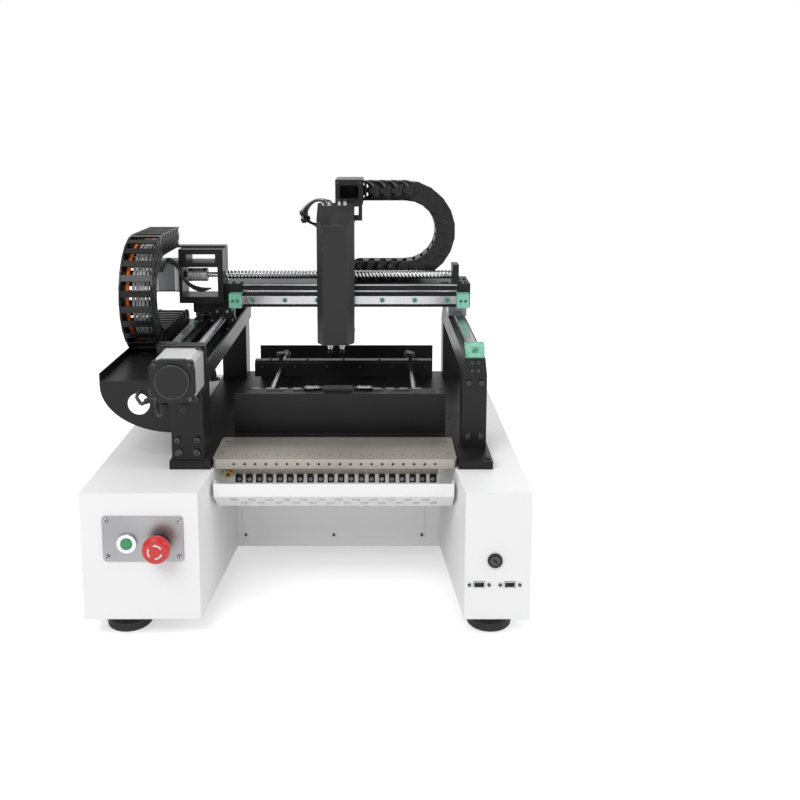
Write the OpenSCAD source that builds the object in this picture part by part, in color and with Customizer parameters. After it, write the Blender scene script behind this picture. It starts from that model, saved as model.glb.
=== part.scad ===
// Desktop pick and place machine: a moving gantry over a board holder, with a row of feeder seats.
// +X is right, +Y is back and +Z is up. The origin is on the floor under the middle of the machine.

/* [Base] */
// Width of the base housing
base_w = 640; // [610:10:700]
// Depth of the base housing
base_d = 640; // [630:10:720]
// Height of the base housing, without its feet
base_h = 190; // [170:5:240]
// Height of the feet under the housing
foot_h = 32; // [26:1:45]
// Diameter of the rubber foot pads
foot_d = 65; // [50:1:80]
// Width of the left leg at the front
left_leg_w = 168; // [160:2:176]
// Width of the right leg at the front
right_leg_w = 94; // [88:2:100]
// Depth of the gap between the legs
gap_d = 235; // [225:5:260]
// How far each inner wall leans in from the front to the back of the gap
gap_lean = 18; // [6:1:26]
// Thickness of the sheet metal
sheet_t = 2; // [1.5:0.5:3]

/* [Bed and feeder plate] */
// Thickness of the bed plate
bed_t = 13; // [10:1:18]
// Width of the feeder plate
feeder_w = 370; // [366:2:374]
// Depth of the feeder plate
feeder_depth = 102; // [90:2:110]
// Thickness of the feeder plate
feeder_t = 15; // [12:1:18]
// Number of feeder seats
feeder_count = 20; // [8:1:21]
// Distance between feeder seats
feeder_pitch = 16; // [12:0.5:16.5]
// Diameter of the dowel holes of the feeder seats
feeder_hole_d = 4; // [3:0.5:6]

/* [Frame] */
// Height of the posts above the bed plate
post_h = 117; // [100:1:150]
// Height of the side beams
side_beam_h = 28; // [26:1:34]
// Width of the linear rails
rail_w = 15; // [12:1:18]
// Height of the linear rails
rail_h = 12; // [10:1:14]
// Diameter of the ball screws
screw_d = 16; // [12:1:18]

/* [Gantry and head] */
// Distance from the front of the base to the gantry beam at rest
gantry_back = 444; // [430:2:450]
// Height of the gantry beam
gantry_h = 44; // [40:1:52]
// Depth of the gantry beam
gantry_d = 60; // [54:1:66]
// Place of the head along the gantry at rest
head_x = 28; // [0:1:50]
// Width of the head cover
cover_w = 66; // [60:1:72]
// Height of the head cover
cover_h = 248; // [225:1:250]
// Depth of the head cover
cover_d = 56; // [50:1:62]
// Distance between the two nozzles
nozzle_gap = 21; // [20.5:0.5:23]

/* [Cable chains] */
// Distance from one chain hinge to the next
link_pitch = 21.5; // [20:0.5:24]
// Height of a chain link
link_h = 36; // [32:1:38]
// Links in the bend of the gantry chain
y_bend_links = 12; // [11:1:12]
// Links in the bend of the head chain
x_bend_links = 11; // [10:1:11]
// Width of the gantry chain
y_chain_w = 54; // [40:1:56]
// Width of the head chain
x_chain_w = 50; // [40:1:54]

/* [Controls] */
// Width of the control plate
panel_w = 115; // [105:1:130]
// Height of the control plate
panel_h = 67; // [56:1:80]
// Diameter of the emergency stop's mushroom
estop_d = 40; // [35:1:42]
// Diameter of the start button's bezel
bezel_d = 28; // [26:1:32]

/* [Board holder] */
// Height of the plates that hold the board rails
board_plate_h = 66; // [60:1:75]
// Diameter of the guide rods
rod_d = 10; // [8:1:12]

/* [Hidden] */
$fn = 48;

// Clearances: a running fit, the gap under a piece that lies on another, a free gap
fit = 0.05;
seat = 0.3;
free = 1;
over = 1; // how far a cut runs past a face

// Base
estop_out = 32;
inlet_out = 2; // how far the power inlet's flange stands out of the back
front_y = -(base_d + inlet_out - estop_out) / 2;
function fy(d) = front_y + d; // a depth behind the front of the base
back_y = fy(base_d);
base_x = base_w / 2;
base_top = foot_h + base_h;
gap_left = -base_x + left_leg_w;
gap_right = base_x - right_leg_w;
function gap_left_at(d) = gap_left + gap_lean * d / gap_d;
function gap_right_at(d) = gap_right - gap_lean * d / gap_d;
foot_inset = 52;
foot_places = [for (sx = [-1, 1], d = [foot_inset, base_d - foot_inset]) [sx * (base_x - foot_inset), fy(d)]];
pad_h = foot_h / 2;
stud_d = 10;
cover_top = foot_h + sheet_t; // upper face of the bottom cover
cover_screw_d = 5;

// Bed and feeder plate
bed_front = 92;
bed_top = base_top + bed_t;
bed_margin = 4;
bed_back = base_d - 22;
feeder_x = (gap_left + gap_right) / 2;
feeder_front = bed_front + 2;
feeder_back = feeder_front + feeder_depth;
feeder_top = base_top + feeder_t;
feeder_row_front = feeder_front + 20;
feeder_row_back = feeder_back - 13;
feeder_screw_d = 6;
function seat_x(i) = feeder_x + (i - (feeder_count - 1) / 2) * feeder_pitch;
bar_w = feeder_count * feeder_pitch;
bar_front = feeder_front + 46;
bar_d = 20;
bar_h = 26;
bar_bottom = base_top - bar_h;
socket = [10, 14, 12];

// Side frames
left_rail_x = -base_x + 98;
right_rail_x = base_x - 67;
screw_gap = 37; // from the left rail to the gantry's ball screw
y_screw_x = left_rail_x + screw_gap;
left_post = [y_screw_x - 23, y_screw_x + 25];
right_post = [right_rail_x - 19, right_rail_x + 19];
left_post_front = 95;
right_post_front = 150;
front_post_d = 60;
rear_post_d = 50;
post_back = base_d - 30;
post_top = bed_top + post_h;
rail_seat = post_top + side_beam_h; // upper face of the side beams
trough_floor = 4;
trough_wall = 4;
nut_flange_d = 48;
nut_d = 28;
y_screw_z = post_top + trough_floor + free + nut_flange_d / 2;
trough_half = nut_flange_d / 2 + free;
bumper = [29, 22, 21];
rail_front = right_post_front + bumper[1];
rail_back = post_back - 5;
block_h = 24;
block_w = 34;
block_l = 58;
block_lift = 4;

// Gantry
gantry_z = rail_seat + block_h;
gantry_top = gantry_z + gantry_h;
gantry_y = fy(gantry_back);
gantry_left = y_screw_x + 4;
gantry_right = right_rail_x + 22;
block_y = gantry_y + 14;
nut_plate_t = 12;
end_plate_h = 10;
x_rail_z = gantry_z + gantry_h / 2 - 7;
x_screw_y = gantry_y + 14;
x_screw_z = gantry_top + 15;
motor_w = 57;
motor_h = motor_w / 2 + 1.5;
x_bracket = [gantry_left - 81, gantry_left];
x_bearing_x = gantry_right - 34;
x_bumper = [22.5, 24, 26];
x_stop = [gantry_left + 11 + x_bumper[0], gantry_right - 4 - x_bumper[0]];
journal_d = screw_d - 6;
shaft_d = 8;

// Motor of the gantry's screw
y_flange = 95;
y_flange_t = 8;
y_motor_front = 6;
y_cap_l = 14;
coupling_d = 26;
y_bearing = [130, 158];
y_rear_bearing = [post_back - 22, post_back - 4];

// Head
plate_front = gantry_y - 34;
plate_t = 10;
plate_back = plate_front + plate_t;
cover_bottom = bed_top + post_h;
cover_top_z = cover_bottom + cover_h;
cover_wall = 2;
roof_h = 36; // rise of the cover's sloping roof
nozzle_y = plate_front - 26;
nozzle_tip = bed_top + 87;
slide_w = nozzle_gap - 1;
spindle_d = 5;
z_motor_w = 42;
pulley_z = cover_bottom + 158;

// Cable chains
link_t = 3;
tongue_r = 8;
tongue_t = link_t - 2 * seat; // the tongue of one link clears the leaf of the next
// where a link's own leaf ends at the height of its cross bars
pad_end = link_pitch - sqrt(pow(link_h / 2 + 0.5, 2) - pow(link_h / 2 - 4, 2)) - 0.2;
function bend_r(n) = link_pitch / (2 * sin(90 / n));
y_chain_x = -base_x + 2 + y_chain_w / 2;
shelf_top = post_top;
y_low_z = shelf_top + seat + link_h / 2;
y_high_z = y_low_z + 2 * bend_r(y_bend_links);
y_bend_y = gantry_y - 14 - 100;
y_upper_links = 6;
y_lower_links = 8;
x_chain_y = gantry_y + 38 + x_chain_w / 2;
x_low_z = gantry_top + seat + link_h / 2;
x_high_z = x_low_z + 2 * bend_r(x_bend_links);
x_bend_x = head_x + 127.5;
x_upper_links = 4;
x_lower_links = 4;
y_anchor = y_bend_y + y_upper_links * link_pitch;
x_anchor = x_bend_x - x_upper_links * link_pitch;
shelf_t = 2;

// Board holder
board_x = [left_post[1] + 27, right_post[0] - 20];
board_front = 225;
board_back = base_d - 71;
board_plate_t = 4;
board_top = bed_top + board_plate_h;
rod_z = board_top - 12 - rod_d / 2;
rod_x = [feeder_x - 117, feeder_x + 128];
moving_rail_front = 443;
moving_rail_d = 20;

// Controls
panel_x = -base_x + 89;
panel_z = base_top - 67;
button_x = panel_x - 22.7;
estop_x = panel_x + 23.7;
button_z = panel_z - 6;
panel_t = 2;
lens_d = 17;
stem_d = 14;
nose_d = 10;
key_x = base_x - 51;
key_z = base_top - 100;
key_d = 21;
key_barrel_d = 14;
usb_x = [base_x - 73, base_x - 29];
usb_z = base_top - 137;
usb_size = [14, 7];

// A box between two opposite corners
module box(lo, hi) {
    translate(lo) cube(hi - lo);
}

// A cylinder along Y from one depth to another
module rod_y(x, z, y0, y1, d) {
    translate([x, y0, z]) rotate([-90, 0, 0]) cylinder(h = y1 - y0, d = d);
}

// A cylinder along X from one place to another
module rod_x(y, z, x0, x1, d) {
    translate([x0, y, z]) rotate([0, 90, 0]) cylinder(h = x1 - x0, d = d);
}

// A cylinder along Z
module rod_z(x, y, z0, z1, d) {
    translate([x, y, z0]) cylinder(h = z1 - z0, d = d);
}

// Corner points of a rectangle with round corners
function rounded(lo, hi, r, n = 5) = [
    for (c = [[hi[0] - r, hi[1] - r, 0], [lo[0] + r, hi[1] - r, 90],
              [lo[0] + r, lo[1] + r, 180], [hi[0] - r, lo[1] + r, 270]])
        for (i = [0:n]) let (a = c[2] + 90 * i / n) [c[0] + r * cos(a), c[1] + r * sin(a)]];

// A plate across Y, drawn by its X and Z corners, with round corners
module plate_y(lo, hi, y0, y1, r) {
    translate([0, y1, 0]) rotate([90, 0, 0])
        linear_extrude(y1 - y0) polygon(rounded(lo, hi, r));
}

// An outline in Y and Z carried along X
module profile_x(points, x0, x1) {
    translate([x0, 0, 0]) rotate([90, 0, 90]) linear_extrude(x1 - x0) polygon(points);
}

// ---------- Base ----------

// Outline of the base, moved in by t on every side
function base_outline(t) = [
    [-base_x + t, fy(t)], [gap_left - t, fy(t)],
    [gap_left + gap_lean - t, fy(gap_d + t)], [gap_right - gap_lean + t, fy(gap_d + t)],
    [gap_right + t, fy(t)], [base_x - t, fy(t)],
    [base_x - t, back_y - t], [-base_x + t, back_y - t]];

inlet_x = base_x - 90;
inlet_z = foot_h + 60;
inlet = [28, 20, 22];

module base_shell() {
    color("white") difference() {
        translate([0, 0, foot_h]) linear_extrude(base_h) polygon(base_outline(0));
        translate([0, 0, foot_h - over])
            linear_extrude(base_h + over - sheet_t) polygon(base_outline(sheet_t));
        for (x = [button_x, estop_x])
            rod_y(x, button_z, fy(-over), fy(sheet_t + over), 23);
        rod_y(key_x, key_z, fy(-over), fy(sheet_t + over), key_barrel_d + 4.6);
        for (x = usb_x)
            box([x - usb_size[0] / 2 - 1.6, fy(-over), usb_z - usb_size[1] / 2 - 1.6],
                [x + usb_size[0] / 2 + 1.6, fy(sheet_t + over), usb_z + usb_size[1] / 2 + 1.6]);
        box([inlet_x - inlet[0] / 2 - 2.3, back_y - sheet_t - over, inlet_z - inlet[1] / 2 - 2.3],
            [inlet_x + inlet[0] / 2 + 2.3, back_y + over, inlet_z + inlet[1] / 2 + 2.3]);
        // air slots in the back
        for (i = [0:9])
            box([-220 + i * 16, back_y - sheet_t - over, foot_h + 50],
                [-214 + i * 16, back_y + over, foot_h + 110]);
    }
}

module bottom_cover() {
    color("silver") difference() {
        translate([0, 0, foot_h]) linear_extrude(sheet_t) polygon(base_outline(sheet_t + seat));
        for (p = foot_places)
            rod_z(p[0], p[1], foot_h - over, cover_top + over, stud_d + 0.4);
    }
}

gap_panel_x = [gap_left + gap_lean + 9, gap_right - gap_lean - 26];
gap_panel_z = [foot_h + 16, base_top - 20];
module gap_panel() {
    color("whitesmoke")
        plate_y([gap_panel_x[0], gap_panel_z[0]], [gap_panel_x[1], gap_panel_z[1]],
                fy(gap_d - 1.5), fy(gap_d), 3);
}

// A pan head screw that stands out of a face across Y, towards the front
module screw_y(x, z, y, d) {
    translate([x, y, z]) rotate([90, 0, 0]) difference() {
        cylinder(h = d * 0.35, d = d);
        translate([0, 0, d * 0.2]) cylinder(h = d, d = d * 0.5, $fn = 6);
    }
}

module cover_screws() {
    color("dimgray") {
        for (x = [gap_panel_x[0] + 5, (gap_panel_x[0] + gap_panel_x[1]) / 2, gap_panel_x[1] - 5])
            screw_y(x, gap_panel_z[0] + 5, fy(gap_d - 1.5), cover_screw_d);
        for (sx = [-1, 1], sz = [-1, 1])
            screw_y(panel_x + sx * (panel_w / 2 - 7), panel_z + sz * (panel_h / 2 - 7),
                    fy(-panel_t), cover_screw_d);
        for (x = usb_x, sx = [-1, 1])
            screw_y(x + sx * 14, usb_z, fy(0), cover_screw_d);
        // bolts at the feet of the posts
        for (x = left_post, s = (x == left_post[0]) ? 1 : -1)
            screw_y(x + s * 11, bed_top + 14, fy(left_post_front), 9);
        for (x = right_post, s = (x == right_post[0]) ? 1 : -1, z = [bed_top + 22, post_top - 12])
            screw_y(x + s * 9, z, fy(right_post_front), 7);
    }
}

module foot_pads() {
    color("black") for (p = foot_places) {
        translate([p[0], p[1], 0]) rotate_extrude()
            polygon([[0, 0], [foot_d / 2 - 2, 0], [foot_d / 2, 2], [foot_d / 2, pad_h - 3],
                     [foot_d / 2 - 3, pad_h], [0, pad_h]]);
    }
}

module foot_cups() {
    color("gray") for (p = foot_places) {
        rod_z(p[0], p[1], pad_h, foot_h, foot_d - 13);
        rod_z(p[0], p[1], foot_h - over, cover_top + 12, stud_d);
    }
}

// ---------- Bed and feeder plate ----------

module bed_plate() {
    lo = left_post[0] - bed_margin;
    hi = right_post[1] + bed_margin;
    cut = feeder_w / 2 + 2;
    color("#202122") difference() {
        box([lo, fy(bed_front), base_top], [hi, fy(bed_back), bed_top]);
        box([feeder_x - cut, fy(bed_front - over), base_top - over],
            [feeder_x + cut, fy(feeder_back + 2), bed_top + over]);
        // service holes beside the board holder
        for (x = [board_x[0] - 12, board_x[1] + 11], d = [300, 360, 420, 480])
            rod_z(x, fy(d), base_top - over, bed_top + over, 5);
    }
}

module feeder_plate() {
    lo = [feeder_x - feeder_w / 2, fy(feeder_front)];
    hi = [feeder_x + feeder_w / 2, fy(feeder_back)];
    color("#c9c3b8") difference() {
        translate([0, 0, base_top]) linear_extrude(feeder_t) polygon(rounded(lo, hi, 8));
        for (i = [0:feeder_count - 1]) {
            for (d = [feeder_row_front, feeder_row_back])
                rod_z(seat_x(i), fy(d), feeder_top - 9, feeder_top + over, feeder_hole_d);
            rod_y(seat_x(i), base_top + feeder_t / 2, lo[1] - over, lo[1] + 10, feeder_hole_d);
        }
        for (sx = [-1, 1], d = [feeder_row_front + 8, feeder_row_back - 8])
            rod_z(feeder_x + sx * (feeder_w / 2 - 11), fy(d),
                  base_top - over, feeder_top + over, feeder_screw_d);
    }
}

module connector_bar() {
    color("lightgray") box([feeder_x - bar_w / 2, fy(bar_front), bar_bottom],
                           [feeder_x + bar_w / 2, fy(bar_front + bar_d), base_top]);
}

module feeder_connectors() {
    for (i = [0:feeder_count - 1]) {
        color("#151515") difference() {
            box([seat_x(i) - socket[0] / 2, fy(bar_front - 4), bar_bottom - socket[2]],
                [seat_x(i) + socket[0] / 2, fy(bar_front - 4 + socket[1]), bar_bottom]);
            rod_y(seat_x(i), bar_bottom - socket[2] / 2, fy(bar_front - 4 - over),
                  fy(bar_front + 2), socket[0] - 3);
        }
        color("silver") rod_y(seat_x(i), bar_bottom - socket[2] / 2,
                              fy(bar_front - 5), fy(bar_front + 2), socket[0] - 5.5);
    }
}

tray_back = bar_front - 8;
tray_front = 62;
tray_x = [gap_left_at(tray_back) + 0.5, gap_right_at(tray_back) - 0.5];
tray_top = base_top - 11;
tray_mid = tray_top - 20;
tray_low = tray_top - 50;
tray_t = 1.5;
module tape_tray() {
    t = tray_t;
    slope_d = 38;
    outline = [[fy(tray_front), tray_top], [fy(tray_front), tray_mid],
               [fy(tray_front + slope_d), tray_low], [fy(tray_back), tray_low],
               [fy(tray_back), tray_low + 18]];
    inner = [[fy(tray_back) - t, tray_low + 18], [fy(tray_back) - t, tray_low + t],
             [fy(tray_front + slope_d) + t / 3, tray_low + t], [fy(tray_front) + t, tray_mid + t / 2],
             [fy(tray_front) + t, tray_top]];
    slope = atan2(tray_mid - tray_low, slope_d);
    holes = floor((tray_x[1] - tray_x[0] - 40) / 26);
    color("white") {
        difference() {
            profile_x(concat(outline, inner), tray_x[0] + t, tray_x[1] - t);
            // two staggered rows of oval holes in the slope
            for (i = [0:holes - 1], row = [0, 1])
                translate([(tray_x[0] + tray_x[1]) / 2 + (i - (holes - 1) / 2) * 26 + row * 13 - 6.5,
                           fy(tray_front + 12 + row * 14),
                           tray_mid - (12 + row * 14) * (tray_mid - tray_low) / slope_d])
                    rotate([90 - slope, 0, 0])
                        for (s = [-1, 0, 1]) translate([s * 2.5, 0, -6]) cylinder(h = 12, d = 6, $fn = 24);
        }
        for (x = [tray_x[0], tray_x[1] - t])
            profile_x([outline[0], outline[1], outline[2], outline[3], outline[4],
                       [fy(tray_front + 16), tray_top]], x, x + t);
        // pivot bosses that reach the walls of the gap
        boss_d = tray_front + 50;
        rod_x(fy(boss_d), tray_mid - 6, gap_left_at(boss_d) + seat, tray_x[0] + t / 2, 9);
        rod_x(fy(boss_d), tray_mid - 6, tray_x[1] - t / 2, gap_right_at(boss_d) - seat, 9);
    }
}

fitting_x = feeder_x - bar_w / 2 - 7;
fitting_z = bar_bottom + 4;
tube_d = 6.1;
module air_fitting() {
    color("#1a1a1a") difference() {
        box([fitting_x - 7, fy(bar_front + 2), fitting_z - 8], [fitting_x + 7, fy(bar_front + 14), base_top]);
        rod_y(fitting_x, fitting_z, fy(bar_front + 2 - over), fy(bar_front + 14 + over), 9);
    }
    color("goldenrod") difference() {
        union() {
            rod_y(fitting_x, fitting_z, fy(bar_front - 12), fy(bar_front + 2), 11);
            rod_y(fitting_x, fitting_z, fy(bar_front + 2 - over), fy(bar_front + 20), 9);
        }
        rod_y(fitting_x, fitting_z, fy(bar_front - 12 - over), fy(bar_front + 4), tube_d);
    }
}

// ---------- Side frames ----------

module frame_posts() {
    color("#161616") {
        box([left_post[0], fy(left_post_front), bed_top],
            [left_post[1], fy(left_post_front + front_post_d), post_top]);
        box([right_post[0], fy(right_post_front), bed_top],
            [right_post[1], fy(right_post_front + 40), post_top]);
        for (p = [left_post, right_post])
            box([p[0], fy(post_back - rear_post_d), bed_top], [p[1], fy(post_back), post_top]);
    }
}

// The left beam is a trough for the ball screw, with the rail on its thick outer wall
module left_beam() {
    x = [left_rail_x - 18, y_screw_x - trough_half, y_screw_x + trough_half,
         y_screw_x + trough_half + trough_wall];
    outline = [[x[0], post_top], [x[3], post_top], [x[3], rail_seat], [x[2], rail_seat],
               [x[2], post_top + trough_floor], [x[1], post_top + trough_floor],
               [x[1], rail_seat], [x[0], rail_seat]];
    translate([0, fy(post_back), 0]) rotate([90, 0, 0])
        linear_extrude(post_back - left_post_front) polygon(outline);
}

// The right beam narrows towards its top
module right_beam() {
    outline = [[right_post[0], post_top], [right_post[1], post_top],
               [right_post[1] - 3, rail_seat], [right_post[0] + 3, rail_seat]];
    translate([0, fy(post_back), 0]) rotate([90, 0, 0])
        linear_extrude(post_back - right_post_front) polygon(outline);
}

module side_beams() {
    color("#1b1b1b") {
        left_beam();
        right_beam();
    }
}

module y_rails() {
    for (x = [left_rail_x, right_rail_x])
        color("silver") difference() {
            box([x - rail_w / 2, fy(rail_front), rail_seat], [x + rail_w / 2, fy(rail_back), rail_seat + rail_h]);
            for (d = [rail_front + 20 : 60 : rail_back - 10])
                rod_z(x, fy(d), rail_seat + rail_h - 1, rail_seat + rail_h + over, 9);
        }
}

module rail_bumpers() {
    color("mediumseagreen") for (x = [left_rail_x - 3, right_rail_x])
        difference() {
            box([x - bumper[0] / 2, fy(right_post_front), rail_seat],
                [x + bumper[0] / 2, fy(rail_front), rail_seat + bumper[2]]);
            rod_y(x, rail_seat + bumper[2] / 2, fy(right_post_front - over), fy(right_post_front + 6), 9);
        }
}

// A square motor seen along Y, with its corners cut
module motor_y(x, z, y0, y1, w) {
    c = w * 0.09;
    h = w / 2;
    translate([x, y1, z]) rotate([90, 0, 0]) linear_extrude(y1 - y0)
        polygon([[h, h - c], [h - c, h], [-h + c, h], [-h, h - c],
                 [-h, -h + c], [-h + c, -h], [h - c, -h], [h, -h + c]]);
}

module y_motor_body() {
    color("gainsboro") difference() {
        motor_y(y_screw_x, y_screw_z, fy(y_motor_front + y_cap_l), fy(y_flange - y_flange_t), motor_w + 3);
        rod_y(y_screw_x, y_screw_z, fy(y_flange - y_flange_t - 14), fy(y_flange), shaft_d + 2 * fit);
    }
}

module y_motor_cap() {
    color("#141414") {
        motor_y(y_screw_x, y_screw_z, fy(y_motor_front + 4), fy(y_motor_front + y_cap_l), motor_w + 5);
        rod_y(y_screw_x, y_screw_z, fy(y_motor_front), fy(y_motor_front + 5), motor_w - 15);
    }
}

y_plate_half = motor_w / 2 + 4.5;
module y_screw_supports() {
    color("#181818") {
        // motor plate on the front of the left side frame
        difference() {
            box([y_screw_x - y_plate_half, fy(y_flange - y_flange_t), y_screw_z - y_plate_half],
                [y_screw_x + y_plate_half, fy(y_flange), y_screw_z + y_plate_half]);
            rod_y(y_screw_x, y_screw_z, fy(y_flange - y_flange_t - over), fy(y_flange + over), 38);
        }
        // bearing blocks in the trough
        for (b = [y_bearing, y_rear_bearing]) difference() {
            box([y_screw_x - 20, fy(b[0]), post_top + trough_floor], [y_screw_x + 20, fy(b[1]), y_screw_z + 22]);
            rod_y(y_screw_x, y_screw_z, fy(b[0] - over), fy(b[1] + over), journal_d + 2 * fit);
        }
    }
}

tray_shelf_front = 118;
tray_shelf_back = post_back - 20;
tray_left = -base_x;
lip_h = 12;
tray_hole_d = 34;
module chain_tray() {
    r = left_post[0] - tray_left;
    drop = 81;
    t = sheet_t;
    color("#1c1c1c") {
        // shelf with an upturned outer lip, under the side beam and against its posts
        box([tray_left, fy(tray_shelf_front), shelf_top - t], [left_post[0], fy(tray_shelf_back), shelf_top]);
        box([tray_left, fy(tray_shelf_front), shelf_top - t],
            [tray_left + t / 2, fy(tray_shelf_back), shelf_top + lip_h]);
        // quarter-round end plates, each with a round hole for the cables
        for (d = [tray_shelf_front, tray_shelf_back - t])
            difference() {
                translate([left_post[0], fy(d + t), shelf_top]) rotate([90, 0, 0]) linear_extrude(t)
                    polygon(concat([[0, 0], [-r, 0], [-r, -7]],
                        [for (a = [0:6:90]) [-r * cos(a), -7 - (drop - 7) * sin(a)]]));
                rod_y(tray_left + r * 0.52, shelf_top - 36, fy(d - over), fy(d + t + over), tray_hole_d);
            }
        // flange down the side of the front post
        box([left_post[0] - t, fy(tray_shelf_front), shelf_top - drop],
            [left_post[0], fy(left_post_front + front_post_d - 5), shelf_top]);
        // fixed end of the chain
        box([y_chain_x - y_chain_w / 2 + 8, y_bend_y + (y_lower_links + 0.5) * link_pitch, shelf_top - t],
            [y_chain_x + y_chain_w / 2 - 8, y_bend_y + (y_lower_links + 1.3) * link_pitch, shelf_top + link_h * 0.7]);
    }
}

// ---------- Cable chains ----------

// One side of a link, from its hinge at 0 to the next at link_pitch. The outer leaf has a round
// front and a hollow back that clears the next link. The inner leaf reaches under the next one.
module link_side(side, w) {
    r = link_h / 2;
    y_out = side * (w / 2 - link_t / 2);
    y_in = side * (w / 2 - link_t * 1.5);
    root = tongue_r + 1;
    translate([0, y_out, 0]) rotate([90, 0, 0]) difference() {
        union() {
            cylinder(h = link_t, r = r, center = true, $fn = 32);
            translate([0, -r, -link_t / 2]) cube([link_pitch - 4, link_h, link_t]);
        }
        translate([link_pitch, 0, 0]) cylinder(h = link_t + over, r = r + 0.5, center = true, $fn = 32);
    }
    translate([0, y_in, 0]) rotate([90, 0, 0]) {
        translate([root, -r + 1, -tongue_t / 2]) cube([4, link_h - 2, tongue_t]);
        translate([root, -tongue_r, -tongue_t / 2]) cube([link_pitch - root, tongue_r * 2, tongue_t]);
        translate([link_pitch, 0, 0]) cylinder(h = tongue_t, r = tongue_r, center = true, $fn = 32);
    }
}

// A whole link of width w along +X: two sides and two cross bars
module chain_link(w) {
    color("#1d1d1d") {
        for (side = [-1, 1]) link_side(side, w);
        for (sz = [-1, 1]) {
            translate([tongue_r + 1, -w / 2 + link_t + seat, sz * (link_h / 2 - 2.5) - 1.5])
                cube([5, w - 2 * (link_t + seat), 3]);
            // the pads that carry the bar on the outer leaves, clear of the next link's leaf
            for (sy = [-1, 1])
                translate([pad_end - 4, sy * (w / 2 - link_t - 1) - 1.5, sz * (link_h / 2 - 2.5) - 1.5])
                    cube([4, 3, 3]);
        }
    }
}

// A straight run of n links along +X
module chain_run(n, w) {
    for (i = [0:n - 1]) translate([i * link_pitch, 0, 0]) chain_link(w);
}

// Half a turn of n links, from the lower run at the origin over to the upper run.
// Each link is a chord of the hinge circle.
module chain_bend(n, w) {
    r = bend_r(n);
    for (i = [0:n - 1]) {
        a = 180 * i / n - 90;
        translate([r * cos(a), 0, r + r * sin(a)]) rotate([0, -180 * (i + 0.5) / n, 0]) chain_link(w);
    }
}

module y_chain_lower_run() {
    translate([y_chain_x, y_bend_y + y_lower_links * link_pitch, y_low_z]) rotate([0, 0, -90])
        chain_run(y_lower_links, y_chain_w);
}

module y_chain_upper_run() {
    translate([y_chain_x, y_bend_y, y_high_z]) rotate([0, 0, 90]) chain_run(y_upper_links, y_chain_w);
}

module y_chain_bend() {
    translate([y_chain_x, y_bend_y, y_low_z]) rotate([0, 0, -90]) chain_bend(y_bend_links, y_chain_w);
}

module x_chain_lower_run() {
    translate([x_bend_x - x_lower_links * link_pitch, x_chain_y, x_low_z])
        chain_run(x_lower_links, x_chain_w);
}

module x_chain_upper_run() {
    translate([x_bend_x, x_chain_y, x_high_z]) rotate([0, 0, 180]) chain_run(x_upper_links, x_chain_w);
}

module x_chain_bend() {
    translate([x_bend_x, x_chain_y, x_low_z]) chain_bend(x_bend_links, x_chain_w);
}

// ---------- Board holder ----------

module board_plates() {
    t = board_plate_t;
    color("#1a1a1a") for (f = [[board_front, 1], [board_back, 1]]) {
        box([board_x[0], fy(f[0]), bed_top], [board_x[1], fy(f[0] + t), board_top]);
        for (x = [board_x[0] + 10, board_x[1] - 50])
            box([x, fy(f[0] + t - over), bed_top], [x + 40, fy(f[0] + t + 18), bed_top + t]);
    }
}

module guide_rods() {
    color("silver") for (x = rod_x)
        rod_y(x, rod_z, fy(board_front + board_plate_t), fy(board_back), rod_d);
}

fixed_rail_d = 33;
ledge = 4;
module fixed_board_rail() {
    y0 = fy(board_front + board_plate_t);
    x = [board_x[0] + 22, board_x[1] - 16];
    color("#55585a") difference() {
        box([x[0], y0, board_top - 11], [x[1], y0 + fixed_rail_d, board_top]);
        // ledge for the edge of the board
        box([x[0] - over, y0 + fixed_rail_d - 4, board_top - ledge],
            [x[1] + over, y0 + fixed_rail_d + over, board_top + over]);
        // slots for the clips
        for (sx = [-1, 1], k = [0, 1])
            box([feeder_x + sx * (60 + k * 45) - 15, y0 + 10, board_top - 3],
                [feeder_x + sx * (60 + k * 45) + 15, y0 + 16, board_top + over]);
    }
    // clips and the lamp of the part camera
    color("silver") for (sx = [-1, 1])
        box([feeder_x + sx * 42 - 16, y0 + 18, board_top], [feeder_x + sx * 42 + 16, y0 + 31, board_top + 3]);
    color("#101010") box([feeder_x - 24, y0 + 4, board_top], [feeder_x + 24, y0 + 26, board_top + 6]);
}

module moving_board_rail() {
    y0 = fy(moving_rail_front);
    z = [rod_z - rod_d / 2 - 8, board_top];
    color("#1a1a1a") difference() {
        box([board_x[0] + 5, y0, z[0]], [board_x[1] - 9, y0 + moving_rail_d, z[1]]);
        box([board_x[0], y0 - over, board_top - ledge], [board_x[1], y0 + 4, board_top + over]);
        for (x = rod_x)
            rod_y(x, rod_z, y0 - over, y0 + moving_rail_d + over, rod_d + 2 * fit);
    }
}

// ---------- Controls and sockets ----------

module control_plate() {
    lo = [panel_x - panel_w / 2, panel_z - panel_h / 2];
    hi = [panel_x + panel_w / 2, panel_z + panel_h / 2];
    color("lightgray") difference() {
        plate_y(lo, hi, fy(-panel_t), fy(0), 5);
        for (x = [button_x, estop_x])
            rod_y(x, button_z, fy(-panel_t - over), fy(over), 23);
    }
}

module start_bezel() {
    color("silver") difference() {
        union() {
            rod_y(button_x, button_z, fy(-panel_t - 4), fy(-panel_t), bezel_d);
            rod_y(button_x, button_z, fy(-panel_t - over), fy(26), 22);
        }
        rod_y(button_x, button_z, fy(-panel_t - 4 - over), fy(20), lens_d + 2 * fit);
    }
}

module start_button() {
    color("green") rod_y(button_x, button_z, fy(-panel_t - 5), fy(14), lens_d);
}

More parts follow.
